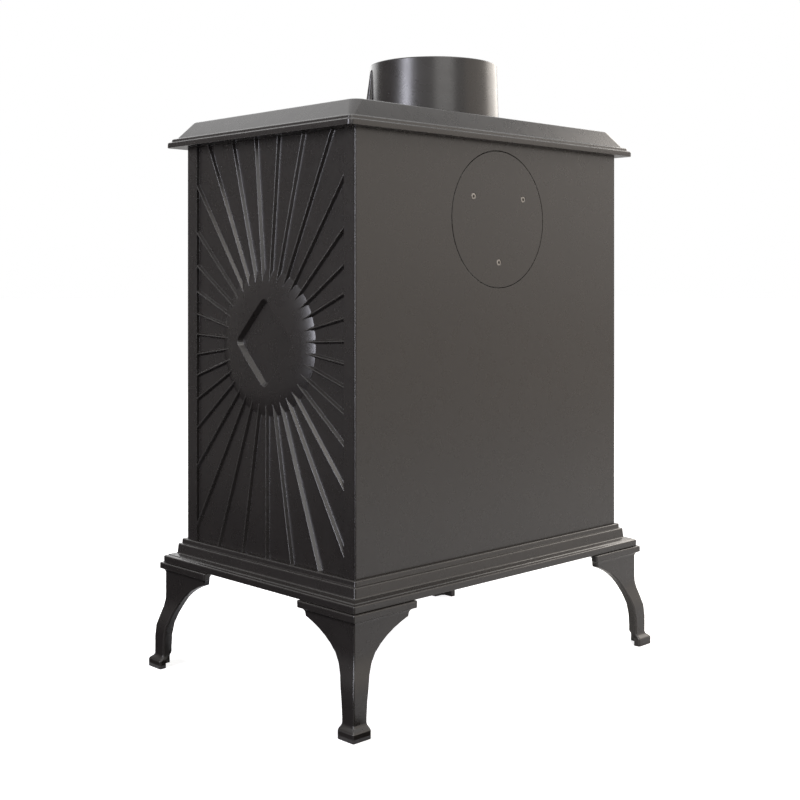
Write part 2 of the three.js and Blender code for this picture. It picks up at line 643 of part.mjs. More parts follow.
function addFrontFrame() {
  const edge = PANEL_INNER - GAP;
  const plate = roundedRect(-edge, PANEL_BOTTOM, edge, PANEL_TOP, 0.5);
  plate.holes.push(
    roundedRect(-OPENING_HALF, FIRE_OPENING.bottom, OPENING_HALF, FIRE_OPENING.top, 8),
    roundedRect(-OPENING_HALF, ASH_OPENING.bottom, OPENING_HALF, ASH_OPENING.top, 8));
  const slots = airSlots(AIR_SLIDE_Z, 7).map((slot) => elevation(slot, FRAME_FRONT - 1, FRAME_BACK + 5, 1));
  const lugs = Object.values(HINGES).map(({ lug }) => hingeEye(lug, LUG_ARM));
  const rails = slideRails(FRAME_FRONT, AIR_SLIDE_Z, 98, 11);
  const rodHole = rodAlongY(RIDDLE_ROD.x, RIDDLE_ROD.z, 4.6, FRAME_FRONT - 5, FRAME_BACK + 5);
  add('front_frame', without(
    joined([elevation(plate, FRAME_FRONT, FRAME_BACK), ...lugs, ...rails]), [rodHole, ...slots]));

  add('secondary_air_slide', airSlide(FRAME_FRONT, AIR_SLIDE_Z, 11));
  add('secondary_air_knob', slideKnob(-44, AIR_SLIDE_Z, FRAME_FRONT), metal.steel);

  for (const [name, { knuckle, lug }] of Object.entries(HINGES)) {
    const z0 = Math.min(knuckle[0], lug[0]) - 0.5;
    const z1 = Math.max(knuckle[1], lug[1]) + 0.5;
    const [r, soft] = [PIN_RADIUS, PIN_RADIUS - 0.6];
    const profile = [[0, z0], [soft, z0], [r, z0 + 0.6], [r, z1 - 0.6], [soft, z1], [0, z1]];
    const pin = turnedUpright(profile, PIN.x, PIN.y, 10);
    add(`hinge_pin_${name}`, pin, metal.blackSteel);
  }
}

// ---------------------------------------------------------------- doors

function doorRing(y, half, bottom, top, radius) {
  return roundedRing([-half, bottom, half, top], radius, 3, (u, v) => [u, y, v]);
}

function ropePath({ bottom, top }) {
  return { half: DOOR_HALF - ROPE_INSET, bottom: bottom + ROPE_INSET, top: top - ROPE_INSET };
}

// The groove that holds the rope seal, cut in the door's back.
function ropeGroove(door) {
  const { half, bottom, top } = ropePath(door);
  const w = ROPE_WIDTH / 2 + 0.4;
  const groove = roundedRect(-half - w, bottom - w, half + w, top + w, 8 + w);
  groove.holes.push(roundedRect(-half + w, bottom + w, half - w, top - w, 8 - w));
  return elevation(groove, DOOR_BACK - 5.6, DOOR_BACK + 5);
}

function ropeSeal(door) {
  const { half, bottom, top } = ropePath(door);
  const y = (FRAME_FRONT - GAP - 0.1 + DOOR_BACK - 5.3) / 2;
  const reach = (FRAME_FRONT - GAP - 0.1 - DOOR_BACK + 5.3) / 2;
  const rings = Array.from({ length: 6 }, (_, i) => {
    const angle = i * Math.PI / 3;
    const out = ROPE_WIDTH / 2 * Math.cos(angle);
    const back = y + reach * Math.sin(angle) / Math.cos(Math.PI / 6);
    return doorRing(back, half + out, bottom - out, top + out, 8 + out);
  });
  return solid(loft(rings));
}

function castDoor(door, hinges) {
  const { bottom, top } = door;
  const slab = solid(loft([
    doorRing(DOOR_BACK, DOOR_HALF, bottom, top, 8),
    doorRing(DOOR_FRONT + 3.4, DOOR_HALF, bottom, top, 8),
    doorRing(DOOR_FRONT + 1, DOOR_HALF - 1.2, bottom + 1.2, top - 1.2, 7),
    doorRing(DOOR_FRONT, DOOR_HALF - 4, bottom + 4, top - 4, 6),
  ], flatXZ));
  const knuckles = hinges.map((name) => hingeEye(HINGES[name].knuckle, KNUCKLE_ARM));
  return joined([slab, ...knuckles]).subtract(ropeGroove(door));
}

const CLIPS = {
  upper_left: [-84, 1], upper_right: [84, 1], lower_left: [-84, -1], lower_right: [84, -1],
};
const glassEdge = (sign) => (sign > 0 ? WINDOW.top + GLASS_MARGIN : WINDOW.bottom - GLASS_MARGIN);

function addFireDoor() {
  const glassHalf = WINDOW.half + GLASS_MARGIN;
  const [glassBottom, glassTop] = [glassEdge(-1), glassEdge(1)];
  const { half, bottom, top, radius } = WINDOW;
  const window = solid(loft([
    doorRing(DOOR_BACK + 5, half, bottom, top, radius),
    doorRing(DOOR_BACK - 7, half, bottom, top, radius),
    doorRing(DOOR_FRONT - 0.2, half + 6, bottom - 6, top + 6, radius + 6),
  ], flatXZ));
  const rebate = elevation(
    roundedRect(-glassHalf - 1, glassBottom - 1, glassHalf + 1, glassTop + 1, 4),
    DOOR_BACK - REBATE_DEPTH, DOOR_BACK + 5);
  const spindleHole = rodAlongY(LATCH_X, FIRE_LATCH_Z, 5.4, DOOR_FRONT - 5, DOOR_BACK + 5, 12);
  const clipSeats = Object.values(CLIPS).flatMap(([x, sign]) => {
    const z = glassEdge(sign);
    const ends = [z - 12 * sign, z + 12 * sign].sort((a, b) => a - b);
    return [
      elevation(roundedRect(x - 8, ends[0], x + 8, ends[1], 2), DOOR_BACK - 1.7, DOOR_BACK + 5, 1),
      rodAlongY(x, z + 6 * sign, 2.3, DOOR_BACK - 8, DOOR_BACK, 8),
    ];
  });
  add('fire_door', without(castDoor(FIRE_DOOR, ['fire_upper', 'fire_lower']),
    [window, rebate, spindleHole, ...clipSeats]));

  const glassFront = DOOR_BACK - REBATE_DEPTH + GAP;
  const pane = roundedRect(-glassHalf, glassBottom, glassHalf, glassTop, 3);
  add('door_glass', elevation(pane, glassFront, glassFront + GLASS_THICKNESS, 1), metal.glass);
  add('fire_door_rope_seal', ropeSeal(FIRE_DOOR), metal.rope);

  for (const [name, [x, sign]] of Object.entries(CLIPS)) {
    const z = glassEdge(sign);
    const ends = [z - 11 * sign, z + 11 * sign].sort((a, b) => a - b);
    const strip = roundedRect(x - 7, ends[0], x + 7, ends[1], 2);
    const hole = rodAlongY(x, z + 6 * sign, 2.3, DOOR_BACK - 5, DOOR_BACK + 5, 10);
    const clip = elevation(strip, DOOR_BACK - 1.4, DOOR_BACK - 0.2, 1).subtract(hole);
    add(`glass_clip_${name}`, clip, metal.steel);
    const screw = turnedAlongY([
      [0, DOOR_BACK - 7], [2, DOOR_BACK - 7], [2, DOOR_BACK + GAP - 0.2], [3.8, DOOR_BACK + 0.1],
      [3.4, DOOR_BACK + 1.8], [0, DOOR_BACK + 2.2],
    ], x, z + 6 * sign, 10);
    add(`glass_clip_screw_${name}`, screw, metal.steel);
  }
}

// ---------------------------------------------------------------- latches

// A spindle through the door, with a flat tongue behind the frame. At rest the tongue points up,
// clear of the frame, so the door can swing. A quarter turn brings it behind the frame's edge.
function latchSpindle(z, reach) {
  const tongue = roundedRect(LATCH_X - 6, z - 6, LATCH_X + 6, z + reach, 5.9);
  return joined([
    rodAlongY(LATCH_X, z, 5, DOOR_FRONT - 13, FRAME_BACK + 9, 12),
    turnedAlongY([[0, DOOR_FRONT - 5], [8.5, DOOR_FRONT - 5], [9.5, DOOR_FRONT - 4],
      [9.5, DOOR_FRONT - GAP], [0, DOOR_FRONT - GAP]], LATCH_X, z, 14),
    elevation(tongue, FRAME_BACK + 2.5, FRAME_BACK + 8, 2),
  ]);
}

// A cast lever that hangs 45 degrees outward at rest: boss, cranked neck and rounded grip.
function leverHandle(z, length) {
  const y = DOOR_FRONT - 13;
  const boss = turnedAlongY([
    [0, y - 9], [8, y - 9], [10.5, y - 7], [10.5, y + 6], [9, y + 7.5], [0, y + 7.5],
  ], LATCH_X, z, 16);
  const crank = [[2 / length, -2], [0.2, -3.5], [0.38, -12], [0.6, -15], [0.8, -15], [1, -14]];
  const centre = new THREE.CatmullRomCurve3(crank.map(([share, forward]) => {
    const step = share * length * Math.SQRT1_2;
    return new THREE.Vector3(LATCH_X - step, y + forward, z - step);
  }));
  const widths = [4.2, 3.9, 4.4, 5.8, 6.7, 6.9, 5.9, 3.4];
  const side = new THREE.Vector3(Math.SQRT1_2, 0, -Math.SQRT1_2);
  const rings = widths.map((width, row) => {
    const at = centre.getPoint(row / (widths.length - 1));
    const forward = new THREE.Vector3().crossVectors(centre.getTangent(row / (widths.length - 1)), side);
    return Array.from({ length: 10 }, (_, i) => {
      const angle = i * Math.PI / 5;
      return at.clone().addScaledVector(side, width * Math.cos(angle))
        .addScaledVector(forward, 0.72 * width * Math.sin(angle));
    });
  });
  const socket = rodAlongY(LATCH_X, z, 5 + GAP, y - GAP, y + 20, 12);
  return boss.add(solid(loft(rings, (p) => new THREE.Vector2(p.x - p.z, p.y)))).subtract(socket);
}

function addLatches() {
  add('fire_door_latch_spindle', latchSpindle(FIRE_LATCH_Z, 30), metal.blackSteel);
  add('fire_door_lever', leverHandle(FIRE_LATCH_Z, 74));
  add('ash_door_latch_spindle', latchSpindle(ASH_LATCH_Z, 28), metal.blackSteel);
  add('ash_door_lever', leverHandle(ASH_LATCH_Z, 50));
}

function addAshDoor() {
  const slots = airSlots(ASH_SLIDE_Z, 8);
  const rails = slideRails(DOOR_FRONT, ASH_SLIDE_Z, 98, 12);
  const body = joined([castDoor(ASH_DOOR, ['ash_upper', 'ash_lower']), ...rails]);
  const cuts = slots.map((slot) => elevation(slot, DOOR_FRONT - 1, DOOR_BACK + 5, 1));
  cuts.push(rodAlongY(LATCH_X, ASH_LATCH_Z, 5.4, DOOR_FRONT - 5, DOOR_BACK + 5, 12));
  add('ash_door', without(body, cuts));
  add('ash_door_rope_seal', ropeSeal(ASH_DOOR), metal.rope);
  add('primary_air_slide', airSlide(DOOR_FRONT, ASH_SLIDE_Z, 12));
  add('primary_air_knob', slideKnob(-44, ASH_SLIDE_Z, DOOR_FRONT), metal.steel);
}

// ---------------------------------------------------------------- inside the firebox

function grateSlots() {
  const slots = [];
  for (let row = -3; row <= 3; row++) {
    for (const [x0, x1] of [[-96, -6], [6, 96]]) {
      const y = row * 18;
      const [left, right] = [x0 + 3, x1 - 3];
      slots.push(outline([[x0, y], [left, y - 4], [right, y - 4], [x1, y], [right, y + 4], [left, y + 4]]));
    }
  }
  return slots;
}

function addGrate() {
  const [x, front, rear] = [202.4, FRAME_BACK + GAP, REAR_INNER - GAP];
  const [nx, nf, nr] = [188, -115, 114]; // corner notches round the tie rods
  const bed = outline([
    [nx, front], [nx, nf], [x, nf], [x, nr], [nx, nr], [nx, rear],
    [-nx, rear], [-nx, nr], [-x, nr], [-x, nf], [-nx, nf], [-nx, front],
  ]);
  bed.holes.push(...grateSlots());
  const rail = (s) => {
    const shape = outline([[s * 119, GRATE_BOTTOM + 1], [s * 119, 247], [s * 105, 247], [s * 105, 252.7],
      [s * 113.4, 252.7], [s * 113.4, GRATE_BOTTOM + 1]]);
    return elevation(shape, -73, 74);
  };
  add('grate_bed', joined([plan(bed, GRATE_BOTTOM, GRATE_TOP, 1), rail(1), rail(-1)]));

  const plate = outline([
    [-113, 76], [-113, -76], [-192.5, -76], [-192.5, -88], [60, -88], [68, -76], [113, -76], [113, 76],
  ]);
  plate.holes.push(...grateSlots());
  const eye = rodAlongY(RIDDLE_ROD.x, RIDDLE_ROD.z, 2.6, -95, -70, 8);
  add('riddling_plate', plan(plate, 253, 260, 1).subtract(eye));
  add('riddling_rod', joined([
    rodAlongY(RIDDLE_ROD.x, RIDDLE_ROD.z, 4, DOOR_FRONT - 16, -88 - GAP, 12),
    rodAlongY(RIDDLE_ROD.x, RIDDLE_ROD.z, 2.2, -90, -78, 8),
  ]), metal.steel);
  const end = DOOR_FRONT - 12;
  const knob = turnedAlongY([[0, end - 18], [6, end - 18], [9.3, end - 15.5], [9.3, end - 11],
    [5, end - 4], [5.4, end], [0, end]], RIDDLE_ROD.x, RIDDLE_ROD.z, 16);
  const socket = rodAlongY(RIDDLE_ROD.x, RIDDLE_ROD.z, 4 + GAP, DOOR_FRONT - 16 - GAP, end + 5, 12);
  add('riddling_knob', knob.subtract(socket), metal.blackSteel);
}

const baffleUnderside = (y) => BAFFLE_REAR + GAP + (REAR_INNER - y) * BAFFLE_SLOPE;

function addFirebox() {
  const foot = GRATE_TOP + GAP;
  const [front, rear] = [-100, 116];
  const brick = outline([
    [front, foot], [rear, foot], [rear, baffleUnderside(rear) - GAP],
    [front, baffleUnderside(front) - GAP], [front, foot + 40],
  ]);
  const inner = PANEL_INNER - GAP - BRICK_THICKNESS;
  add('side_brick_right', section(brick, inner, PANEL_INNER - GAP), metal.brick);
  add('side_brick_left', section(brick, GAP - PANEL_INNER, -inner), metal.brick);
  const backInner = REAR_INNER - GAP - BRICK_THICKNESS;
  const back = outline([
    [backInner, foot], [REAR_INNER - GAP, foot], [REAR_INNER - GAP, BAFFLE_REAR], [backInner, BAFFLE_REAR],
  ]);
  add('rear_brick', section(back, GAP - inner, inner - GAP), metal.brick);

  const thickness = 10;
  const [y0, y1] = [BAFFLE_FRONT_Y, REAR_INNER - GAP];
  const baffle = outline([
    [y0, baffleUnderside(y0)], [y1, baffleUnderside(y1)], [y1, baffleUnderside(y1) + thickness],
    [y0 + 6, baffleUnderside(y0) + thickness - 1], [y0, baffleUnderside(y0) + 5],
  ]);
  const body = section(baffle, -202.4, 202.4);
  const notches = [1, -1].map((s) => plan(roundedRect(
    s * TIE_ROD.x - 9, TIE_ROD.rear - 9, s * TIE_ROD.x + 9, TIE_ROD.rear + 15, 2), 400, 560, 2));
  add('baffle_plate', without(body, notches));

  const guard = new THREE.Shape();
  guard.moveTo(-176, foot);
  guard.lineTo(-164, foot);
  guard.lineTo(-164, foot + 14);
  guard.quadraticCurveTo(0, foot + 20, 164, foot + 14);
  guard.lineTo(164, foot);
  guard.lineTo(176, foot);
  guard.lineTo(176, foot + 24);
  guard.quadraticCurveTo(0, foot + 36, -176, foot + 24);
  add('log_guard', elevation(guard, -112, -104, 8));
}

function addAshPan() {
  const [half, front, rear, floor, rim] = [148, -122, 118, RUNNER_TOP + GAP, 237];
  const trayRing = (z, inset) => roundedRing(
    [inset - half, front + inset, half - inset, rear - inset], 10, 2, (u, v) => [u, v, z]);
  const outer = [[floor, 6], [floor + 5, 4], [rim - 2, 0.5], [rim, 0]];
  const inner = [[floor + 1.5, 7.5], [floor + 6, 5.5], [rim + 3, 1.6]];
  const tray = (rows) => solid(loft(rows.map(([z, inset]) => trayRing(z, inset)), flatXY));
  const [shell, inside] = [tray(outer), tray(inner)];
  const fingerHole = elevation(roundedRect(-28, 212, 28, 226, 6.9), front - 5, front + 10);
  add('ash_pan', without(shell, [inside, fingerHole]), metal.blackSteel);
}

function addTieRods() {
  for (const [end, y] of [['front', TIE_ROD.front], ['rear', TIE_ROD.rear]]) {
    for (const [hand, s] of [['right', 1], ['left', -1]]) {
      const rod = hexBolt(s * TIE_ROD.x, y, 128 - GAP, 7.5, 6.5, 4, 602);
      add(`tie_rod_${end}_${hand}`, rod, metal.blackSteel);
    }
  }
}

addBase();
addLegs();
addSidePanels();
addRearPanel();
addHob();
addFlueCollar();
addFrontFrame();
addFireDoor();
addAshDoor();
addLatches();
addGrate();
addFirebox();
addAshPan();
addTieRods();

// The origin is the middle of the whole stove's outline, at floor level.
const box = new THREE.Box3().setFromObject(stove);
const shift = -(box.min.y + box.max.y) / 2;
stove.children.forEach((mesh) => mesh.geometry.translate(0, shift, 0));

export default stove;
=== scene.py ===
# %% [markdown]
# A small cast-iron box stove, photographed from behind and from its right side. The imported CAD
# model is the frame: every casting, door and latch already has its place, in metres, with the
# front towards -Y. This file dresses that frame. It casts the sunburst panels afresh, turns the
# round pieces, lays the rope seals, rounds every arris as sand and paint do, and gives each
# surface its real finish.

# %% load the frame
import json
import math

import bpy
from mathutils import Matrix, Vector

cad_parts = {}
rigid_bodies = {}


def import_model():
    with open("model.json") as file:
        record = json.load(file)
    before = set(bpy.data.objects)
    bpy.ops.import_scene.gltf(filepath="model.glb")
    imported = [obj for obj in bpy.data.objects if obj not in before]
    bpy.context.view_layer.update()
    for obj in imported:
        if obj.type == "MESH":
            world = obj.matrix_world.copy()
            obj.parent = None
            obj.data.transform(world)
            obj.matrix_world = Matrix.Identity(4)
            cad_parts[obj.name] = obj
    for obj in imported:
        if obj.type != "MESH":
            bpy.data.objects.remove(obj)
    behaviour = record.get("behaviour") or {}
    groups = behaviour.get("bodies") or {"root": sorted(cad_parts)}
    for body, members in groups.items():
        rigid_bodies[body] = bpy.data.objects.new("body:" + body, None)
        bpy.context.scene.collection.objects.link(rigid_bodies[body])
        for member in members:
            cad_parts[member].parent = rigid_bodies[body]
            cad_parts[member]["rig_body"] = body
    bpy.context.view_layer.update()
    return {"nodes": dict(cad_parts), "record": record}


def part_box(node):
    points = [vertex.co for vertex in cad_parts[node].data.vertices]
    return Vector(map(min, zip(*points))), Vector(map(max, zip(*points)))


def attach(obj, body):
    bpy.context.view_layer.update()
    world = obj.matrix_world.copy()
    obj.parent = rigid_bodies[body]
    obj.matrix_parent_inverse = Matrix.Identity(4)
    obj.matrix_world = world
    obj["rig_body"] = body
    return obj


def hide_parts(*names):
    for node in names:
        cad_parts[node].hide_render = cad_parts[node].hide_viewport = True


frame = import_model()
nodes = frame["nodes"]
slot_of = {row["node"]: row["material_slot"] for row in frame["record"]["subparts"]}
MM = 0.001
GAP = 0.3 * MM  # what the CAD leaves between pieces that touch
SLIVER = 0.02 * MM  # what is left of it where a piece is pressed home

# %% [markdown]
# The photograph was taken with a level camera that stands behind the stove and to its right, at
# about the height of the door's middle. Upright edges stay parallel in it, so the picture was
# framed by shifting the lens down and not by tilting the camera. The same shift is used here.

# %% camera
CAMERA_FROM_FRONT_END = Vector((1.04749, 1.20603, 0.43712))  # from the side panel's front end
FOCAL_LENGTH_MM = 57.04
LENS_SHIFT = -0.1464
VIEW_TURN = math.radians(135.79)

panel_front_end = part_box("side_panel_right")[0].y
bpy.ops.object.camera_add(
    location=CAMERA_FROM_FRONT_END + Vector((0, panel_front_end, 0)),
    rotation=(math.radians(90), 0, VIEW_TURN),
)
camera = bpy.context.active_object
camera.name = "camera"
camera.data.lens = FOCAL_LENGTH_MM
camera.data.sensor_width = 36
camera.data.shift_y = LENS_SHIFT
bpy.context.scene.camera = camera
bpy.context.scene.view_settings.view_transform = "Standard"
print("camera at", tuple(round(c, 4) for c in camera.location))

# %% [markdown]
# Colours are written as they look on a screen, and one function turns them to the linear values
# that shaders use. Pattern sizes are written in millimetres and turned to a texture's scale. One
# more function adds a node, sets what it is told and links its inputs. All materials use these. A
# Mix node has one set of sockets for each kind of value, and the sets share their names, so its
# colour sockets are found by number.

# %% colour and node helpers
SHARE, FIRST, SECOND = 0, 6, 7  # where a Mix node takes its share and its two colours
MIXED = 2  # where it gives the mixed colour


def colour(hex_code):
    channels = [int(hex_code[i : i + 2], 16) / 255 for i in (1, 3, 5)]
    linear = [c / 12.92 if c <= 0.04045 else ((c + 0.055) / 1.055) ** 2.4 for c in channels]
    return (*linear, 1.0)


def per(size_mm):
    return 1 / (size_mm * MM)


def add_node(tree, kind, settings=None, inputs=None):
    node = tree.nodes.new(kind)
    for name, value in (settings or {}).items():
        setattr(node, name, value)
    for name, value in (inputs or {}).items():
        if isinstance(value, bpy.types.Node):
            value = value.outputs[0]
        if isinstance(value, bpy.types.NodeSocket):
            tree.links.new(value, node.inputs[name])
        else:
            node.inputs[name].default_value = value
    return node


def new_material(name):
    material = bpy.data.materials.new(name)
    material.use_nodes = True
    material.node_tree.nodes.clear()
    return material, material.node_tree


# %% [markdown]
# The studio is a pale floor under white walls. The camera sees both as plain white, directly and
# through glass, and gloss mirrors white walls. For the light that falls on the stove the walls are
# only a dim glow, so the lamps do the shaping. The floor is lifted to white and still keeps the
# stove's shadow. Gloss mirrors only a little of that lift, because the real paint blurs the floor
# and the shadow on it together.

# %% floor and white walls
WHITE = (1, 1, 1, 1)
FLOOR_SIZE = 60
WALL_GLOW = 0.36
FLOOR_LIFT = 0.76
MIRRORED_FLOOR = 0.12  # share of the lift that gloss shows, since satin paint blurs it with shadow


def seen_or_mirrored(tree, mirrored_share=1.0):
    path = add_node(tree, "ShaderNodeLightPath").outputs
    mirrored = {0: path["Is Glossy Ray"], 1: mirrored_share}
    seen = add_node(tree, "ShaderNodeMath", {"operation": "MULTIPLY"}, mirrored)
    for ray in ("Is Camera Ray", "Is Transmission Ray"):
        seen = add_node(tree, "ShaderNodeMath", {"operation": "MAXIMUM"}, {0: seen, 1: path[ray]})
    return seen


bpy.ops.mesh.primitive_plane_add(size=FLOOR_SIZE, location=(0, 0, 0))
floor = bpy.context.active_object
floor.name = "studio_floor"
floor_paper, tree = new_material("matt_white_paper_floor")
matt = {"Color": colour("#EEEEEE"), "Roughness": 0.4}
paper = add_node(tree, "ShaderNodeBsdfDiffuse", inputs=matt)
lift = add_node(tree, "ShaderNodeEmission", inputs={"Color": WHITE, "Strength": FLOOR_LIFT})
lifted = add_node(tree, "ShaderNodeAddShader", inputs={0: paper, 1: lift})
seen = seen_or_mirrored(tree, MIRRORED_FLOOR)
shown = add_node(tree, "ShaderNodeMixShader", inputs={0: seen, 1: paper, 2: lifted})
add_node(tree, "ShaderNodeOutputMaterial", inputs={"Surface": shown})
floor.data.materials.append(floor_paper)

world = bpy.data.worlds.new("white_studio_walls")
bpy.context.scene.world = world
world.use_nodes = True
tree = world.node_tree
tree.nodes.clear()
glow = add_node(tree, "ShaderNodeBackground", inputs={0: colour("#F4F2F0"), 1: WALL_GLOW})
white = add_node(tree, "ShaderNodeBackground", inputs={0: WHITE, 1: 1.0})
seen = seen_or_mirrored(tree)
walls = add_node(tree, "ShaderNodeMixShader", inputs={0: seen, 1: glow, 2: white})
add_node(tree, "ShaderNodeOutputWorld", inputs={"Surface": walls})
print("floor and walls made")

# %% [markdown]
# Satin black paint shows mostly what it mirrors, so each lamp is placed by what a face mirrors in
# the photograph. A tall strip softbox to the right draws the bright bar down the flue collar and
# the fine lines along the sunburst's rays. A warm box behind warms the rear panel, one at the left
# edges the collar, and one overhead lights the hob. One behind the camera and a weak one in front
# fill what the others miss. The key stands high behind the stove, so the hob shades the rear panel.
# Three black cards and a grey one keep the right side and the flanks of its rays dark. The camera
# doesn't see the cards directly, but it sees them mirrored, and it can see them through glass.


# %% lamps and dark cards
def softbox(name, at, towards, width, height, watts, tint):
    bpy.ops.object.light_add(type="AREA", location=at)
    lamp = bpy.context.active_object
    lamp.name = name
    lamp.data.shape = "RECTANGLE"
    lamp.data.size = width
    lamp.data.size_y = height
    lamp.data.energy = watts
    lamp.data.color = colour(tint)[:3]
    lamp.rotation_mode = "QUATERNION"
    lamp.rotation_quaternion = (Vector(towards) - Vector(at)).to_track_quat("-Z", "Y")
    lamp.visible_camera = False


def dark_card(name, at, facing, width, height, felt_colour="#0A0A0A"):
    bpy.ops.mesh.primitive_plane_add(size=1, location=at)
    card = bpy.context.active_object
    card.name = name
    card.scale = (width, height, 1)
    card.rotation_mode = "QUATERNION"
    card.rotation_quaternion = Vector(facing).to_track_quat("Z", "Y")
    card.visible_camera = False
    card.visible_shadow = False
    felt, tree = new_material(name + "_felt")
    cloth = add_node(tree, "ShaderNodeBsdfDiffuse", inputs={"Color": colour(felt_colour)})
    add_node(tree, "ShaderNodeOutputMaterial", inputs={"Surface": cloth})
    card.data.materials.append(felt)


STOVE_MIDDLE = (0, 0, 0.4)
softbox("strip_right", (1.9, -0.06, 0.75), STOVE_MIDDLE, 0.48, 1.5, 34, "#F2F2FF")
softbox("key_above_rear", (0.3, 1.2, 2.2), STOVE_MIDDLE, 1.6, 1.2, 22, "#FFF8F0")
softbox("soft_rear", (-1.5, 1.8, 0.95), STOVE_MIDDLE, 2.4, 2.0, 9, "#FFE8D0")
softbox("soft_behind_camera", (1.1, 2.3, 1.35), STOVE_MIDDLE, 1.5, 0.9, 12, "#FFFDFA")
softbox("soft_left", (-2.0, 0.1, 1.3), STOVE_MIDDLE, 1.8, 0.9, 21, "#FFF6EC")
softbox("soft_front", (-0.25, -2.0, 1.0), STOVE_MIDDLE, 1.6, 0.5, 6, "#FFFFFF")
softbox("soft_overhead", (-0.55, -0.6, 2.1), STOVE_MIDDLE, 3.0, 2.8, 21, "#FFFFFF")
dark_card("card_right_front", (0.93, -0.92, 0.66), (-0.84, 1.0, 0), 1.25, 1.3, "#8C8C8C")
dark_card("card_front_low", (0.05, -1.45, 0.36), (0, 1, 0), 1.0, 0.7)
dark_card("card_behind_camera", (0.72, 1.75, 0.36), (-0.37, -0.93, 0), 1.25, 0.7)
dark_card("card_on_floor", (1.0, -0.1, 0.004), (0, 0, 1), 1.6, 2.6)

# %% [markdown]
# Stove castings are grey iron poured in damp sand and sprayed with a heat-proof satin paint. The
# sand leaves a fine pimpled skin. The paint is near black, thick enough to soften the pimples, and
# glossy enough to mirror lamps as soft bars. The grain is drawn at 1.6 mm, coarser than the real
# half millimetre, because finer grain can't be seen at this distance. Along the arrises the same
# paint is burnished by cloths and hands, so it is smoother there. It is also drawn paler there, and
# that paler colour is a painted highlight along each arris.


# %% stove paint on cast iron
def satin_stove_paint(name, base, dusty, roughness, skin_depth_mm):
    material, tree = new_material(name)
    place = add_node(tree, "ShaderNodeTexCoord").outputs["Object"]
    grain = {"Vector": place, "Scale": per(1.6), "Detail": 3.0, "Roughness": 0.6}
    sand = add_node(tree, "ShaderNodeTexNoise", inputs=grain)
    flow = {"Vector": place, "Scale": per(14), "Detail": 2.0, "Roughness": 0.5}
    ripple = add_node(tree, "ShaderNodeTexNoise", inputs=flow)
    drift = {"Vector": place, "Scale": per(75), "Detail": 4.0, "Roughness": 0.6}
    clouds = add_node(tree, "ShaderNodeTexNoise", inputs=drift)
    shades = {SHARE: clouds, FIRST: colour(base), SECOND: colour(dusty)}
    tone = add_node(tree, "ShaderNodeMix", {"data_type": "RGBA"}, shades)
    spread = {"Value": ripple, "To Min": roughness - 0.04, "To Max": roughness + 0.06}
    gloss = add_node(tree, "ShaderNodeMapRange", inputs=spread)
    skin = {"Height": sand, "Strength": 0.3, "Distance": skin_depth_mm * MM}
    pimples = add_node(tree, "ShaderNodeBump", inputs=skin)
    waves = {"Height": ripple, "Strength": 0.15, "Distance": 0.1 * MM, "Normal": pimples}
    surface = add_node(tree, "ShaderNodeBump", inputs=waves)
    look = {"Base Color": tone.outputs[MIXED], "Roughness": gloss, "IOR": 1.5, "Normal": surface}
    paint = add_node(tree, "ShaderNodeBsdfPrincipled", inputs=look)
    add_node(tree, "ShaderNodeOutputMaterial", inputs={"Surface": paint})
    return material


stove_paint = satin_stove_paint(
    "satin_black_stove_paint_on_cast_iron", "#1D1B1A", "#262321", 0.27, 0.05
)
# burnished paint for arrises and crests, drawn paler so that it also paints in their highlight
burnished_paint_with_painted_highlight = satin_stove_paint(
    "stove_paint_burnished_with_painted_highlight_on_arrises", "#2B2927", "#373533", 0.19, 0.015
)
print("made", stove_paint.name, "and", burnished_paint_with_painted_highlight.name)

# %% [markdown]
# Inside the firebox no paint lasts. Bare cast iron turns grey-brown in the fire, with a velvet of
# soot and streaks of pale ash. It has no shine left, so the eye sees only its blotches and the
# rough skin of burnt sand.

# %% sooted iron
sooted_iron, tree = new_material("fire_scaled_cast_iron_with_soot")
place = add_node(tree, "ShaderNodeTexCoord").outputs["Object"]
broad = {"Vector": place, "Scale": per(38), "Detail": 5.0, "Roughness": 0.65}
blotches = add_node(tree, "ShaderNodeTexNoise", inputs=broad)
fine = {"Vector": place, "Scale": per(9), "Detail": 6.0, "Roughness": 0.7}
flakes = add_node(tree, "ShaderNodeTexNoise", inputs=fine)
settled = {"Value": flakes, "From Min": 0.55, "From Max": 0.8}
ash = add_node(tree, "ShaderNodeMapRange", inputs=settled)
iron = {SHARE: blotches, FIRST: colour("#171412"), SECOND: colour("#3A2F29")}
burnt = add_node(tree, "ShaderNodeMix", {"data_type": "RGBA"}, iron)
dusted = {SHARE: ash, FIRST: burnt.outputs[MIXED], SECOND: colour("#4F4A44")}
ashen = add_node(tree, "ShaderNodeMix", {"data_type": "RGBA"}, dusted)
rough = {"Value": blotches, "To Min": 0.7, "To Max": 0.95}
velvet = add_node(tree, "ShaderNodeMapRange", inputs=rough)
crust = {"Vector": place, "Scale": per(2.2), "Detail": 4.0, "Roughness": 0.65}
scale = add_node(tree, "ShaderNodeTexNoise", inputs=crust)
pitted = {"Height": scale, "Strength": 0.6, "Distance": 0.25 * MM}
pits = add_node(tree, "ShaderNodeBump", inputs=pitted)
look = {"Base Color": ashen.outputs[MIXED], "Roughness": velvet, "Normal": pits}
soot = add_node(tree, "ShaderNodeBsdfPrincipled", inputs=look)
add_node(tree, "ShaderNodeOutputMaterial", inputs={"Surface": soot})
print("made", sooted_iron.name)

# %% [markdown]
# Bolts, tie rods, hinge pins, spindles and the riddling knob are turned or forged steel, blackened
# in oil. The black is thin, so the steel's own gleam comes through, broken by fine scratches. On
# the screws of the blanking plate it is worn, and paler steel shows in patches. Air knobs, glass
# clips with their screws and the riddling rod are plain turned steel: the hairlines of its last
# cut spread a lamp into a band. The ash pan is sheet steel that the heat has turned dull grey,
# dusty with ash.

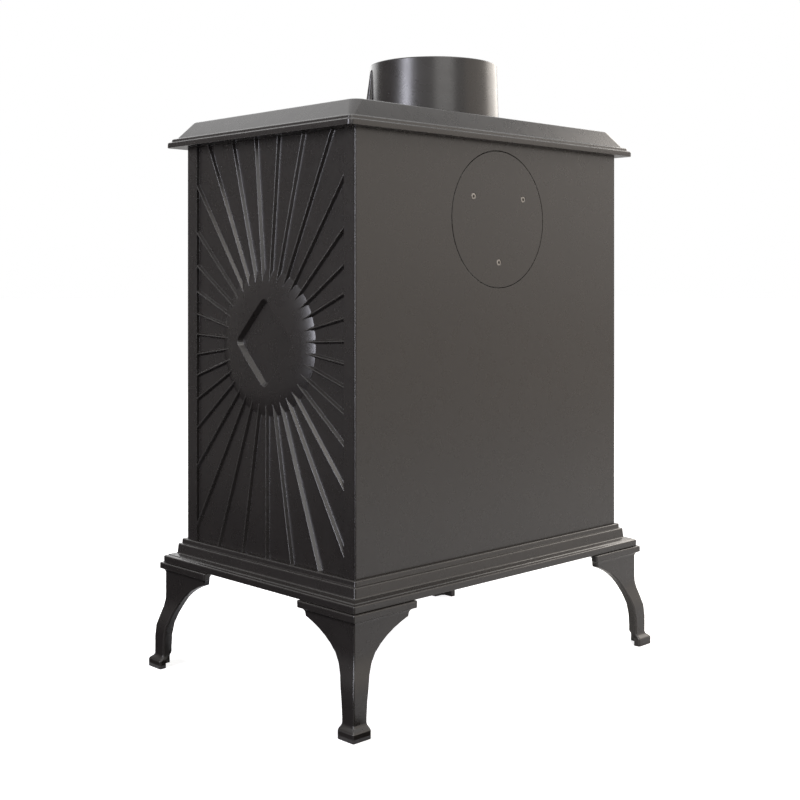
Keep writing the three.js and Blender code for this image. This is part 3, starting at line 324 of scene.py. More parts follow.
# %% blackened, bright and sheet steel
HAIRLINE_STRETCH = (1, 9, 1)  # nine times finer along Y, so that they run round the knobs


def steel(name, dark, light, smooth, rough, hairline_mm, depth_mm):
    material, tree = new_material(name)
    place = add_node(tree, "ShaderNodeTexCoord").outputs["Object"]
    patchy = {"Vector": place, "Scale": per(9), "Detail": 4.0, "Roughness": 0.6}
    smears = add_node(tree, "ShaderNodeTexNoise", inputs=patchy)
    shades = {SHARE: smears, FIRST: colour(dark), SECOND: colour(light)}
    tone = add_node(tree, "ShaderNodeMix", {"data_type": "RGBA"}, shades)
    spread = {"Value": smears, "To Min": smooth, "To Max": rough}
    gloss = add_node(tree, "ShaderNodeMapRange", inputs=spread)
    stretch = {"Vector": place, "Scale": HAIRLINE_STRETCH}
    drawn_out = add_node(tree, "ShaderNodeMapping", inputs=stretch)
    cut = {"Vector": drawn_out, "Scale": per(hairline_mm), "Detail": 4.0, "Roughness": 0.7}
    hairlines = add_node(tree, "ShaderNodeTexNoise", inputs=cut)
    scratched = {"Height": hairlines, "Strength": 0.3, "Distance": depth_mm * MM}
    scratches = add_node(tree, "ShaderNodeBump", inputs=scratched)
    worked = {"Roughness": gloss, "Normal": scratches}
    look = {"Base Color": tone.outputs[MIXED], "Metallic": 1.0, **worked}
    metal = add_node(tree, "ShaderNodeBsdfPrincipled", inputs=look)
    add_node(tree, "ShaderNodeOutputMaterial", inputs={"Surface": metal})
    return material


blackened_steel = steel("oil_blackened_steel", "#2C2B2D", "#474447", 0.3, 0.48, 2.0, 0.03)
bright_steel = steel("plain_turned_steel", "#A3A09B", "#8B8680", 0.22, 0.36, 2.4, 0.02)
sheet_steel = steel("heat_dulled_sheet_steel", "#5A5856", "#77736C", 0.45, 0.62, 5.0, 0.05)
screw_steel = steel("screw_steel_with_worn_black", "#4B4947", "#A09D99", 0.2, 0.34, 2.0, 0.02)
print("made four steels")

# %% [markdown]
# A casting's arrises are never sharp. Its pattern is filed round so that it lifts out of the sand,
# and paint rounds it further. Here a casting is a merged copy of its CAD node. Flat faces are
# joined up again, and a bevel of the casting's own arris radius runs along every hard edge, where
# it also takes the burnished paint, drawn paler as a painted highlight. Faces that look into the
# firebox take the soot.

# %% rounding a casting's arrises
FIREBOX_FLOOR, FIREBOX_TOP = 0.2537, 0.59
FIREBOX_LOW = Vector((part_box("side_brick_left")[0].x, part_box("front_frame")[1].y, FIREBOX_FLOOR))
FIREBOX_HIGH = Vector((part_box("side_brick_right")[1].x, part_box("rear_brick")[1].y, FIREBOX_TOP))
NEAR = 0.6 * MM
SEATED = 0.06  # share of its distance to the seat that an end face keeps
# the second slot is burnished paint, drawn paler as a painted highlight on the arrises
PAINTED, BURNISHED_PAINTED_HIGHLIGHT, SOOTED = 0, 1, 2  # a casting's material slots


def only(piece):
    bpy.ops.object.select_all(action="DESELECT")
    piece.select_set(True)
    bpy.context.view_layer.objects.active = piece


def apply_modifier(piece, kind, **settings):
    only(piece)
    modifier = piece.modifiers.new(kind.lower(), kind)
    for name, value in settings.items():
        setattr(modifier, name, value)
    bpy.ops.object.modifier_apply(modifier=modifier.name)


def dress(piece, *materials):
    piece.data.materials.clear()
    for material in materials:
        piece.data.materials.append(material)


def merged_copy(node, name):
    piece = bpy.data.objects.new(name, nodes[node].data.copy())
    bpy.context.scene.collection.objects.link(piece)
    only(piece)
    bpy.ops.object.mode_set(mode="EDIT")
    bpy.ops.mesh.select_all(action="SELECT")
    bpy.ops.mesh.customdata_custom_splitnormals_clear()
    bpy.ops.mesh.remove_doubles(threshold=0.01 * MM)
    bpy.ops.mesh.dissolve_limited(angle_limit=math.radians(0.6))
    bpy.ops.object.mode_set(mode="OBJECT")
    return piece


def round_arrises(piece, arris_mm, segments=2, angle=28, edge_material=PAINTED):
    apply_modifier(
        piece,
        "BEVEL",
        width=arris_mm * MM,
        segments=segments,
        limit_method="ANGLE",
        angle_limit=math.radians(angle),
        use_clamp_overlap=False,
        miter_outer="MITER_ARC",
        material=edge_material,
    )


def in_firebox(point):
    spot = zip(FIREBOX_LOW, point, FIREBOX_HIGH)
    return all(low - NEAR < c < high + NEAR for low, c, high in spot)


def soot_inside(piece):
    for face in piece.data.polygons:
        if all(in_firebox(piece.data.vertices[i].co) for i in face.vertices):
            face.material_index = SOOTED


def seat(piece, axis, level, onto):
    only(piece)
    bpy.ops.object.mode_set(mode="EDIT")
    bpy.ops.mesh.select_mode(type="VERT")
    bpy.ops.mesh.select_all(action="DESELECT")
    bpy.ops.object.mode_set(mode="OBJECT")
    for vertex in piece.data.vertices:
        vertex.select = abs(vertex.co[axis] - level) < NEAR
    press, plane = [1, 1, 1], [0, 0, 0]
    press[axis], plane[axis] = SEATED, onto
    bpy.ops.object.mode_set(mode="EDIT")
    bpy.ops.transform.resize(value=press, center_override=plane)
    bpy.ops.object.mode_set(mode="OBJECT")


def finish_piece(piece, node, smooth_angle=32):
    only(piece)
    bpy.ops.object.shade_smooth_by_angle(angle=math.radians(smooth_angle))
    apply_modifier(piece, "WEIGHTED_NORMAL", keep_sharp=True, weight=50)
    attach(piece, nodes[node]["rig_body"])
    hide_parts(node)
    print(piece.name, "faces", len(piece.data.polygons))


# %% [markdown]
# Twelve painted castings have their right shape in the CAD model already, so they aren't drawn
# again: base, rear panel, hob, front frame, four legs, two doors and two air slides. The thin
# slides get a finer arris than the heavy castings. Where the rear panel and the front frame are
# clamped between their neighbours, a round arris would open a groove that the real joint doesn't
# have. There their end faces are pressed on to the neighbour, with their arrises.

# %% the painted castings
ARRIS_MM = {
    "base_plate": 0.45,
    "rear_panel": 0.5,
    "hob": 0.6,
    "front_frame": 0.6,
    "leg_front_right": 0.5,
    "leg_front_left": 0.5,
    "leg_rear_right": 0.5,
    "leg_rear_left": 0.5,
    "fire_door": 0.6,
    "ash_door": 0.6,
    "primary_air_slide": 0.35,
    "secondary_air_slide": 0.35,
}
for node, arris_mm in ARRIS_MM.items():
    piece = merged_copy(node, node + "_casting")
    dress(piece, stove_paint, burnished_paint_with_painted_highlight, sooted_iron)
    # the bevels take the burnished paint, whose paler colour is a painted highlight
    round_arrises(piece, arris_mm, edge_material=BURNISHED_PAINTED_HIGHLIGHT)
    if node in ("rear_panel", "front_frame"):
        low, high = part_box(node)
        seat(piece, 2, low.z, low.z - GAP + SLIVER)
        seat(piece, 2, high.z, high.z + GAP - SLIVER)
    if node == "rear_panel":
        side_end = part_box("side_panel_right")[1].y
        seat(piece, 1, side_end + GAP, side_end + SLIVER)
    soot_inside(piece)
    finish_piece(piece, node)

# %% [markdown]
# The pieces inside the firebox are plain castings too: grate, riddling plate, baffle and log guard.
# They wear faster, so most of their arrises are rounder, and fire has scaled them all over. Steel
# fixings are turned or pressed, so they keep a finer arris.

# %% burnt castings, steel fixings and the ash pan
PLAIN_PIECES = {
    "grate_bed": (0.8, sooted_iron),
    "riddling_plate": (0.6, sooted_iron),
    "baffle_plate": (1.0, sooted_iron),
    "log_guard": (1.2, sooted_iron),
    "ash_pan": (0.3, sheet_steel),
    "riddling_rod": (0.25, bright_steel),
}
for node in slot_of:
    if any(word in node for word in ("leg_bolt", "collar_bolt", "hinge_pin", "tie_rod", "spindle")):
        PLAIN_PIECES[node] = (0.3, blackened_steel)
    elif node.startswith("glass_clip"):
        PLAIN_PIECES[node] = (0.25, bright_steel)
for node, (arris_mm, finish) in PLAIN_PIECES.items():
    piece = merged_copy(node, node + "_finished")
    dress(piece, finish)
    round_arrises(piece, arris_mm)
    finish_piece(piece, node)

# %% [markdown]
# New shapes are drawn as by hand: one vertex is extruded from point to point, and the outline is
# then filled and pulled out, or spun round an axis. Solids are joined and cut with booleans. A
# cutter runs a little past what it cuts, because faces that lie on each other confuse a boolean.

# %% drawing, spinning and joining
PAST = 5  # how far a cutter runs past a piece, in mm


def drawn(name, points):
    bpy.ops.object.select_all(action="DESELECT")
    bpy.ops.mesh.primitive_plane_add(size=MM)
    piece = bpy.context.active_object
    piece.name = name
    bpy.ops.object.mode_set(mode="EDIT")
    bpy.ops.mesh.select_mode(type="VERT")
    bpy.ops.mesh.select_all(action="SELECT")
    bpy.ops.mesh.merge(type="CENTER")
    bpy.ops.transform.translate(value=points[0])
    for start, end in zip(points, points[1:]):
        step = Vector(end) - Vector(start)
        bpy.ops.mesh.extrude_region_move(TRANSFORM_OT_translate={"value": step})
    bpy.ops.object.mode_set(mode="OBJECT")
    return piece


def turn_outwards(piece):
    only(piece)
    bpy.ops.object.mode_set(mode="EDIT")
    bpy.ops.mesh.select_all(action="SELECT")
    bpy.ops.mesh.remove_doubles(threshold=0.005 * MM)
    bpy.ops.mesh.normals_make_consistent(inside=False)
    bpy.ops.object.mode_set(mode="OBJECT")


def spun(name, profile_mm, centre, along, out, steps=96):
    centre, along, out = Vector(centre), Vector(along), Vector(out)
    piece = drawn(name, [centre + (out * r + along * a) * MM for r, a in profile_mm])
    bpy.ops.object.mode_set(mode="EDIT")
    bpy.ops.mesh.select_all(action="SELECT")
    bpy.ops.mesh.spin(steps=steps, angle=math.tau, center=centre, axis=along)
    bpy.ops.object.mode_set(mode="OBJECT")
    turn_outwards(piece)
    return piece


def arc(centre, radius, start, end, steps):
    angles = [math.radians(start + (end - start) * i / steps) for i in range(steps + 1)]
    return [(centre[0] + radius * math.cos(a), centre[1] + radius * math.sin(a)) for a in angles]


def block(name, low, high):
    low, high = Vector(low), Vector(high)
    bpy.ops.object.select_all(action="DESELECT")
    bpy.ops.mesh.primitive_cube_add(size=1, location=(low + high) / 2, scale=high - low)
    piece = bpy.context.active_object
    piece.name = name
    bpy.ops.object.transform_apply(location=True, rotation=True, scale=True)
    return piece


def combine(piece, other, how):
    apply_modifier(piece, "BOOLEAN", operation=how, solver="EXACT", object=other)
    bpy.data.objects.remove(other)


def pick(piece, kind, wanted):
    only(piece)
    bpy.ops.object.mode_set(mode="EDIT")
    bpy.ops.mesh.select_mode(type=kind)
    bpy.ops.mesh.select_all(action="DESELECT")
    bpy.ops.object.mode_set(mode="OBJECT")
    for part in piece.data.polygons if kind == "FACE" else piece.data.edges:
        part.select = wanted(part)
    bpy.ops.object.mode_set(mode="EDIT")


def ends(piece, edge):
    return [piece.data.vertices[i].co for i in edge.vertices]


# %% [markdown]
# The side panels carry the stove's ornament: a sunburst of thirty-five low rays round a domed
# medallion with a lozenge sunk in it. The plate comes first. It is one slab, with a strip drawn out
# along each upright edge, so that the field between them lies deeper.

# %% sunburst panel: the plate
HALF_DEPTH = 142.5 * MM
SUN_HEIGHT = 373.5 * MM
PANEL_THICKNESS = 9.25 * MM
FIELD_DEPTH = 3.6 * MM
STRIP_WIDTH = 17.5 * MM
STRIP_ROUND = 0.35 * MM
HAIR = 0.1 * MM  # points that are closer than this lie at one place

panel_low, panel_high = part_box("side_panel_right")
strip_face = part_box("rear_panel")[1].x
panel_inner = strip_face - PANEL_THICKNESS
field = strip_face - FIELD_DEPTH
sun = Vector((field, panel_low.y + HALF_DEPTH, SUN_HEIGHT))
field_front = sun.y - HALF_DEPTH + STRIP_WIDTH
field_rear = sun.y + HALF_DEPTH - STRIP_WIDTH
foot_z = panel_low.z - GAP + SLIVER
head_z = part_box("hob")[0].z - SLIVER

rear_end = panel_high.y + GAP - SLIVER
panel = block("sunburst_panel_right", (panel_inner, panel_low.y, foot_z), (field, rear_end, head_z))
bpy.ops.object.mode_set(mode="EDIT")
for cut in (field_front, field_rear):
    bpy.ops.mesh.select_all(action="SELECT")
    bpy.ops.mesh.bisect(plane_co=(0, cut, 0), plane_no=(0, 1, 0))
bpy.ops.object.mode_set(mode="OBJECT")
pick(panel, "FACE", lambda f: f.normal.x > 0.9 and not field_front < f.center.y < field_rear)
bpy.ops.mesh.extrude_region_move(TRANSFORM_OT_translate={"value": (FIELD_DEPTH, 0, 0)})
bpy.ops.object.mode_set(mode="OBJECT")


def strip_edge(edge):
    a, b = ends(panel, edge)
    upright = abs(a.x - b.x) + abs(a.y - b.y) < HAIR
    between_ends = panel_low.y + MM < a.y < panel_high.y - MM
    front_arris = a.y < panel_low.y + MM and a.x > strip_face - HAIR
    return upright and (front_arris or (between_ends and a.x > field - HAIR))


pick(panel, "EDGE", strip_edge)
bpy.ops.mesh.bevel(offset=STRIP_ROUND, segments=2, affect="EDGES")
bpy.ops.object.mode_set(mode="OBJECT")
print("plate", [round(c, 4) for c in panel.dimensions])

# %% [markdown]
# One ray is drawn as its section: a round crest between steep flanks, with a fillet at each foot,
# where the pattern maker ran wax. The section is pulled out along the ray and spread a little
# at the far end. It is spun round the sun in copies, and the copies are cut off at the strips.

# %% sunburst panel: the rays
RAY_COUNT = 35
RAY_HEIGHT = 3.4
CREST_ROUND, FOOT_ROUND = 0.75, 0.75
FLANK_DEGREES = 64
RAY_FROM, RAY_TO = 55 * MM, 262 * MM
RAY_SPREAD = 1.2  # how much wider the far end is
UNDER_FIELD = 1.0
INTO_STRIP = 1.5 * MM  # rays run on into the strips, so that the two join

steep = math.radians(FLANK_DEGREES)
rounds = CREST_ROUND + FOOT_ROUND
flank_run = (RAY_HEIGHT - rounds * (1 - math.cos(steep))) / math.tan(steep)
half_foot = rounds * math.sin(steep) + flank_run
left_foot = arc((-half_foot, FOOT_ROUND), FOOT_ROUND, -90, FLANK_DEGREES - 90, 4)
crest = arc((0, RAY_HEIGHT - CREST_ROUND), CREST_ROUND, 90 + FLANK_DEGREES, 90 - FLANK_DEGREES, 8)
right_foot = [(-across, height) for across, height in reversed(left_foot)]
section = [(-half_foot, -UNDER_FIELD), *left_foot, *crest, *right_foot, (half_foot, -UNDER_FIELD)]
sunburst = drawn("rays", [sun + Vector((h * MM, w * MM, -RAY_FROM)) for w, h in section])
bpy.ops.object.mode_set(mode="EDIT")
bpy.ops.mesh.select_all(action="SELECT")
bpy.ops.mesh.edge_face_add()
bpy.ops.mesh.extrude_region_move(TRANSFORM_OT_translate={"value": (0, 0, RAY_FROM - RAY_TO)})
bpy.ops.transform.resize(value=(1, RAY_SPREAD, 1), center_override=sun)
bpy.ops.mesh.select_all(action="SELECT")
last_copy = math.tau * (RAY_COUNT - 1) / RAY_COUNT
bpy.ops.mesh.spin(steps=RAY_COUNT - 1, dupli=True, angle=last_copy, center=sun, axis=(1, 0, 0))
bpy.ops.object.mode_set(mode="OBJECT")
turn_outwards(sunburst)
trim = block(
    "trim",
    (field - 2 * UNDER_FIELD * MM, field_front - INTO_STRIP, foot_z + SLIVER),
    (strip_face + PAST * MM, field_rear + INTO_STRIP, head_z - SLIVER),
)
combine(sunburst, trim, "INTERSECT")
print("rays", len(sunburst.data.polygons), "faces")

# %% [markdown]
# The medallion is a shallow dome, flat in the middle and steeper towards its rim, so its profile is
# a high power of the radius. It is spun, and the lozenge is then cut from it with a four-sided
# block whose corners are rounded and whose sides have a moulder's draft.

# %% sunburst panel: the medallion
DOME_RADIUS = 78.4
DOME_RISE = 6.0
DOME_POWER = 4.9
DOME_RINGS = 16
DOME_UNDER = 2  # how deep it reaches under the field
LOZENGE_REACH = 50.4 * MM  # from its middle to a corner, before the corners are rounded
LOZENGE_ROUND = 7 * MM
LOZENGE_DRAFT = 0.9  # size of its floor against its mouth
RIM_ROUND = 0.25

dome_profile = [(0, -DOME_UNDER), (DOME_RADIUS, -DOME_UNDER)]
for ring in range(DOME_RINGS + 1):
    share = math.sqrt(1 - ring / DOME_RINGS)
    dome_profile.append((DOME_RADIUS * share, DOME_RISE * (1 - share**DOME_POWER)))
dome = spun("dome", dome_profile, sun, (1, 0, 0), (0, 0, 1), steps=4 * RAY_COUNT)

lozenge_depth = DOME_RISE * MM + MM
bpy.ops.object.select_all(action="DESELECT")
bpy.ops.mesh.primitive_cylinder_add(
    vertices=4,
    radius=LOZENGE_REACH,
    depth=lozenge_depth,
    location=sun + Vector((lozenge_depth / 2, 0, 0)),
    rotation=(0, math.radians(90), 0),
)
lozenge = bpy.context.active_object
bpy.ops.object.transform_apply(location=True, rotation=True, scale=True)


def lozenge_corner(edge):
    a, b = ends(lozenge, edge)
    return abs(a.x - b.x) > MM


pick(lozenge, "EDGE", lozenge_corner)
bpy.ops.mesh.bevel(offset=LOZENGE_ROUND, segments=8, affect="EDGES")
bpy.ops.object.mode_set(mode="OBJECT")
pick(lozenge, "FACE", lambda face: face.normal.x < -0.9)
bpy.ops.transform.resize(value=(1, LOZENGE_DRAFT, LOZENGE_DRAFT), center_override=sun)
bpy.ops.object.mode_set(mode="OBJECT")
combine(dome, lozenge, "DIFFERENCE")
round_arrises(dome, RIM_ROUND, angle=45)
print("medallion", len(dome.data.polygons), "faces")

# %% [markdown]
# Plate, rays and medallion are joined into one casting, with the inner ledge that carries the
# grate. The crests of the rays catch every duster, so they are burnished, and their paler paint is
# also a painted highlight along each crest. The left panel is the same casting mirrored, so its
# faces are turned outwards again.

# %% sunburst panel: one casting, twice
LEDGE_FRONT, LEDGE_REAR, LEDGE_FOOT = -98 * MM, 112 * MM, 253 * MM
LEDGE_UNDER_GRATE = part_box("grate_bed")[0].z - GAP
LEDGE_ARRIS = 1.5
RAYS_UNDER_DOME = 8  # how far inside the medallion's rim the rays begin to count

ledge = block(
    "ledge",
    (panel_low.x, sun.y + LEDGE_FRONT, LEDGE_FOOT),
    (panel_inner + MM, sun.y + LEDGE_REAR, LEDGE_UNDER_GRATE),
)
round_arrises(ledge, LEDGE_ARRIS)
for addition in (sunburst, dome, ledge):
    combine(panel, addition, "UNION")
dress(panel, stove_paint, burnished_paint_with_painted_highlight, sooted_iron)
for face in panel.data.polygons:
    from_sun = math.hypot(face.center.y - sun.y, face.center.z - sun.z) / MM
    height = (face.center.x - field) / MM
    on_ray = from_sun > DOME_RADIUS - RAYS_UNDER_DOME and field_front < face.center.y < field_rear
    on_crest = on_ray and height > RAY_HEIGHT - CREST_ROUND / 2
    # crest faces take the burnished paint, whose paler colour is a painted highlight
    face.material_index = BURNISHED_PAINTED_HIGHLIGHT if on_crest else PAINTED
soot_inside(panel)

left_panel = bpy.data.objects.new("sunburst_panel_left", panel.data.copy())
bpy.context.scene.collection.objects.link(left_panel)
only(left_panel)
bpy.ops.object.mode_set(mode="EDIT")
bpy.ops.mesh.select_all(action="SELECT")
bpy.ops.transform.resize(value=(-1, 1, 1), center_override=(0, 0, 0))
bpy.ops.object.mode_set(mode="OBJECT")
turn_outwards(left_panel)
finish_piece(panel, "side_panel_right")
finish_piece(left_panel, "side_panel_left")

# %% [markdown]
# The flue collar is a short tapered pipe, cast and then skimmed on a lathe, with two cast bosses
# that its bolts run up into. Its wall is drawn and spun, with a rounded rim. Each boss is a spun
# cone that leans with the wall and is joined to it, with the bore cut clear again.

# %% flue collar
FLUE_FROM_SUN = 41.7 * MM
COLLAR_BORE = 68
COLLAR_RADII = (75.6, 73.3)  # outside, at foot and at rim
RIM_RADIUS = 1.6
BOSS_DEGREES = (-28, 208)
BOSS_PROFILE = [
    (0, -1),
    (7.7, -1),
    (7.3, 1.2),
    (4.6, 31),
    (2.3, 56.5),
    (1.9, 58.6),
    (1.1, 60.2),
    (0, 60.8),
]
BOSS_OUT = 0.6  # how far its axis stands outside the collar's foot
BOSS_LEAN = math.radians(3.2)
BOLT_HOLE_RADIUS, BOLT_HOLE_DEPTH = 3.2, 16
BORE_CLEARANCE = 0.5  # a boss is cut back this far from the bore
UP, RIGHT = (0, 0, 1), (1, 0, 0)

collar_low, collar_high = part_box("flue_collar")
flue = Vector((0, sun.y + FLUE_FROM_SUN, collar_low.z))
tall = (collar_high.z - collar_low.z) / MM
outer_rim = arc((COLLAR_RADII[1] - RIM_RADIUS, tall - RIM_RADIUS), RIM_RADIUS, 0, 90, 6)
inner_rim = arc((COLLAR_BORE + RIM_RADIUS, tall - RIM_RADIUS), RIM_RADIUS, 90, 180, 6)
wall = [(COLLAR_BORE, 0), (COLLAR_RADII[0], 0), *outer_rim, *inner_rim, (COLLAR_BORE, 0)]
collar = spun("flue_collar_casting", wall, flue, UP, RIGHT, steps=144)
cleared = COLLAR_BORE + BORE_CLEARANCE
bore_profile = [(0, -PAST), (cleared, -PAST), (cleared, tall + PAST), (0, tall + PAST)]
bolt_hole = [
    (0, -PAST),
    (BOLT_HOLE_RADIUS, -PAST),
    (BOLT_HOLE_RADIUS, BOLT_HOLE_DEPTH),
    (0, BOLT_HOLE_DEPTH),
]
for degrees in BOSS_DEGREES:
    out = Vector((math.cos(math.radians(degrees)), math.sin(math.radians(degrees)), 0))
    place = flue + out * (COLLAR_RADII[0] + BOSS_OUT) * MM
    leaning = Vector(UP) * math.cos(BOSS_LEAN) - out * math.sin(BOSS_LEAN)
    square = out * math.cos(BOSS_LEAN) + Vector(UP) * math.sin(BOSS_LEAN)
    boss = spun("boss", BOSS_PROFILE, place, leaning, square, steps=40)
    only(boss)
    bpy.ops.object.mode_set(mode="EDIT")
    bpy.ops.mesh.select_all(action="SELECT")
    bpy.ops.mesh.bisect(plane_co=flue, plane_no=UP, use_fill=True, clear_inner=True)
    bpy.ops.object.mode_set(mode="OBJECT")
    combine(boss, spun("bore", bore_profile, flue, UP, RIGHT, steps=72), "DIFFERENCE")
    combine(collar, boss, "UNION")
    combine(collar, spun("bolt_hole", bolt_hole, place, UP, RIGHT, steps=24), "DIFFERENCE")
dress(collar, stove_paint)
finish_piece(collar, "flue_collar")

# %% [markdown]
# The blanking plate closes the rear flue outlet. It is a plain disc with its edge just broken, held
# by three countersunk socket screws. The countersinks are cut with a cone, and a screw is a spun
# head on its shank with a six-sided socket cut in it.

# %% blanking plate and its screws
SINK_RADIUS, SINK_DEPTH = 4.0, 1.9
HOLE_RADIUS = 2.3
HEAD_RADIUS, HEAD_HEIGHT = 3.5, 2.1
HEAD_SUNK = 0.15  # below the plate's face
HEAD_ROUND = 0.35
SHANK_RADIUS = 2.1
SOCKET_RADIUS, SOCKET_DEPTH = 1.7, 1.5
DISC_INSET = 0.25  # how far the disc stays inside the CAD plate
EDGE_BREAK = 0.45
BACK = (0, 1, 0)

plate_low, plate_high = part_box("blanking_plate")
plate_middle = (plate_low + plate_high) / 2
plate_radius = (plate_high.x - plate_low.x) / 2 / MM - DISC_INSET
thick = (plate_high.y - plate_low.y) / MM
edge = arc((plate_radius - EDGE_BREAK, thick - EDGE_BREAK), EDGE_BREAK, 0, 90, 4)
disc_centre = Vector((plate_middle.x, plate_low.y, plate_middle.z))
disc_profile = [(0, 0), (plate_radius, 0), *edge, (0, thick)]
disc = spun("blanking_plate_disc", disc_profile, disc_centre, BACK, RIGHT, steps=144)
for number in (1, 2, 3):
    node = f"blanking_plate_screw_{number}"
    low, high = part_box(node)
    axis = Vector(((low.x + high.x) / 2, plate_high.y, (low.z + high.z) / 2))
    hole = [(0, -PAST), (HOLE_RADIUS, -PAST), (HOLE_RADIUS, -SINK_DEPTH)]
    sink = [*hole, (SINK_RADIUS, 0), (SINK_RADIUS + 1, 1), (0, 1)]
    combine(disc, spun("sink", sink, axis, BACK, RIGHT, steps=32), "DIFFERENCE")
    tip = (low.y - axis.y) / MM
    shank = [(0, tip), (SHANK_RADIUS, tip), (SHANK_RADIUS, -HEAD_HEIGHT)]
    rim_centre = (HEAD_RADIUS - HEAD_ROUND, -HEAD_SUNK - HEAD_ROUND)
    profile = [*shank, *arc(rim_centre, HEAD_ROUND, -10, 90, 4), (0, -HEAD_SUNK)]
    screw = spun(node + "_turned", profile, axis, BACK, RIGHT, steps=32)
    bpy.ops.object.select_all(action="DESELECT")
    bpy.ops.mesh.primitive_cylinder_add(
        vertices=6,
        radius=SOCKET_RADIUS * MM,
        depth=2 * SOCKET_DEPTH * MM,
        location=axis,
        rotation=(math.radians(90), 0, 0),
    )
    socket = bpy.context.active_object
    bpy.ops.object.transform_apply(location=True, rotation=True, scale=True)
    combine(screw, socket, "DIFFERENCE")
    dress(screw, screw_steel)
    finish_piece(screw, node)
dress(disc, stove_paint)
finish_piece(disc, "blanking_plate")

# %% [markdown]
# The latch levers are cast, with a boss on the spindle and a cranked grip that swells towards the
# fingers. Nothing on them is flat or sharp. The CAD lever is skinned anew with small even faces and
# then smoothed, as a casting is fettled with a file and emery.

# %% latch levers
SKIN_STEP = 0.7  # size of the even faces
SMOOTHING_ROUNDS = 7
for node in ("fire_door_lever", "ash_door_lever"):
    lever = merged_copy(node, node + "_fettled")
    apply_modifier(lever, "REMESH", mode="VOXEL", voxel_size=SKIN_STEP * MM)
    apply_modifier(lever, "SMOOTH", factor=0.5, iterations=SMOOTHING_ROUNDS)
    dress(lever, stove_paint)
    finish_piece(lever, node, smooth_angle=60)

# %% [markdown]
# The knobs are turned from bar on a lathe. One profile, written as shares of the knob's radius and
# length, gives all three: a slightly domed face, a rounded rim, a waist for the fingertips and a
# collar against the slide. The riddling knob is bored for its rod.

# %% knobs
KNOB_PROFILE = [
    (0, 0),
    (0.45, 0.005),
    (0.74, 0.03),
    (0.9, 0.08),
    (0.98, 0.16),
    (1, 0.24),
    (0.98, 0.32),
    (0.9, 0.4),
    (0.72, 0.52),
    (0.6, 0.63),
    (0.55, 0.74),
    (0.56, 0.84),
    (0.66, 0.9),
    (0.72, 0.93),
    (0.72, 1),
    (0, 1),
]
ROD_BORE = 4.3
rod_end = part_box("riddling_rod")[0].y
for node in ("primary_air_knob", "secondary_air_knob", "riddling_knob"):
    low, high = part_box(node)
    radius, length = (high.z - low.z) / 2 / MM, (high.y - low.y) / MM
    face = Vector(((low.x + high.x) / 2, low.y, (low.z + high.z) / 2))
    profile = [(r * radius, a * length) for r, a in KNOB_PROFILE]
    knob = spun(node + "_turned", profile, face, BACK, RIGHT, steps=48)
    if node == "riddling_knob":
        depth = (rod_end - GAP - low.y) / MM
        bore = [(0, depth), (ROD_BORE, depth), (ROD_BORE, length + PAST), (0, length + PAST)]
        combine(knob, spun("bore", bore, face, BACK, RIGHT, steps=32), "DIFFERENCE")
    dress(knob, bright_steel if slot_of[node] == "bright_steel" else blackened_steel)
    finish_piece(knob, node)

# %% [markdown]
# A stove door is sealed with glass-fibre rope that is dusted with graphite. The yarn is fine and
# dull, and loose fibres catch the light as a grey fuzz. Where the rope is rubbed, the graphite is
# gone and the paler glass shows. The yarn is drawn at 1.1 mm, coarser than it is, so that it shows.

# %% graphite rope
graphite_rope, tree = new_material("graphite_coated_glass_fibre_rope")
place = add_node(tree, "ShaderNodeTexCoord").outputs["Object"]
yarn = {"Vector": place, "Scale": per(1.1), "Detail": 5.0, "Roughness": 0.75}
fibres = add_node(tree, "ShaderNodeTexNoise", inputs=yarn)
wear = {"Vector": place, "Scale": per(16), "Detail": 3.0, "Roughness": 0.6}
rubbed = add_node(tree, "ShaderNodeTexNoise", inputs=wear)
shades = {SHARE: fibres, FIRST: colour("#232323"), SECOND: colour("#5A5956")}
yarns = add_node(tree, "ShaderNodeMix", {"data_type": "RGBA"}, shades)
worn = add_node(tree, "ShaderNodeMapRange", inputs={"Value": rubbed, "To Max": 0.35})
mixed = {SHARE: worn, FIRST: yarns.outputs[MIXED], SECOND: colour("#77736B")}
tone = add_node(tree, "ShaderNodeMix", {"data_type": "RGBA"}, mixed)
fuzz = {"Height": fibres, "Strength": 0.7, "Distance": 0.3 * MM}
fuzzy = add_node(tree, "ShaderNodeBump", inputs=fuzz)
look = {"Base Color": tone.outputs[MIXED], "Roughness": 0.88, "Sheen Weight": 0.25, "Normal": fuzzy}
rope = add_node(tree, "ShaderNodeBsdfPrincipled", inputs=look)
add_node(tree, "ShaderNodeOutputMaterial", inputs={"Surface": rope})
print("made", graphite_rope.name)

# %% [markdown]
# The rope is glued in a groove round the back of the door. Its four strands are laid to the right,
# and the closed door has pressed it a little flat. It could be swept along the groove as a plain
# tube, but then only bump would show the strands. So a four-lobed section is screwed along a
# straight length, and that length is bent round the groove.

# %% rope seals
ROPE_WIDTH = 7.2
STRANDS = 4
STRAND_GROOVE = 0.95  # depth between two strands
STRAND_INSET = 0.05  # how far a strand's top stays inside the rope's width
STRAND_POWER = 1.5  # above 1 the strands are round and the grooves between them narrow
ROPE_CORNER = 8 * MM
LAY_MM = 20  # length in which a strand goes once round
STEPS_PER_LAY = 14
SECTION_POINTS = 24
PRESSED = 0.8  # thickness against width

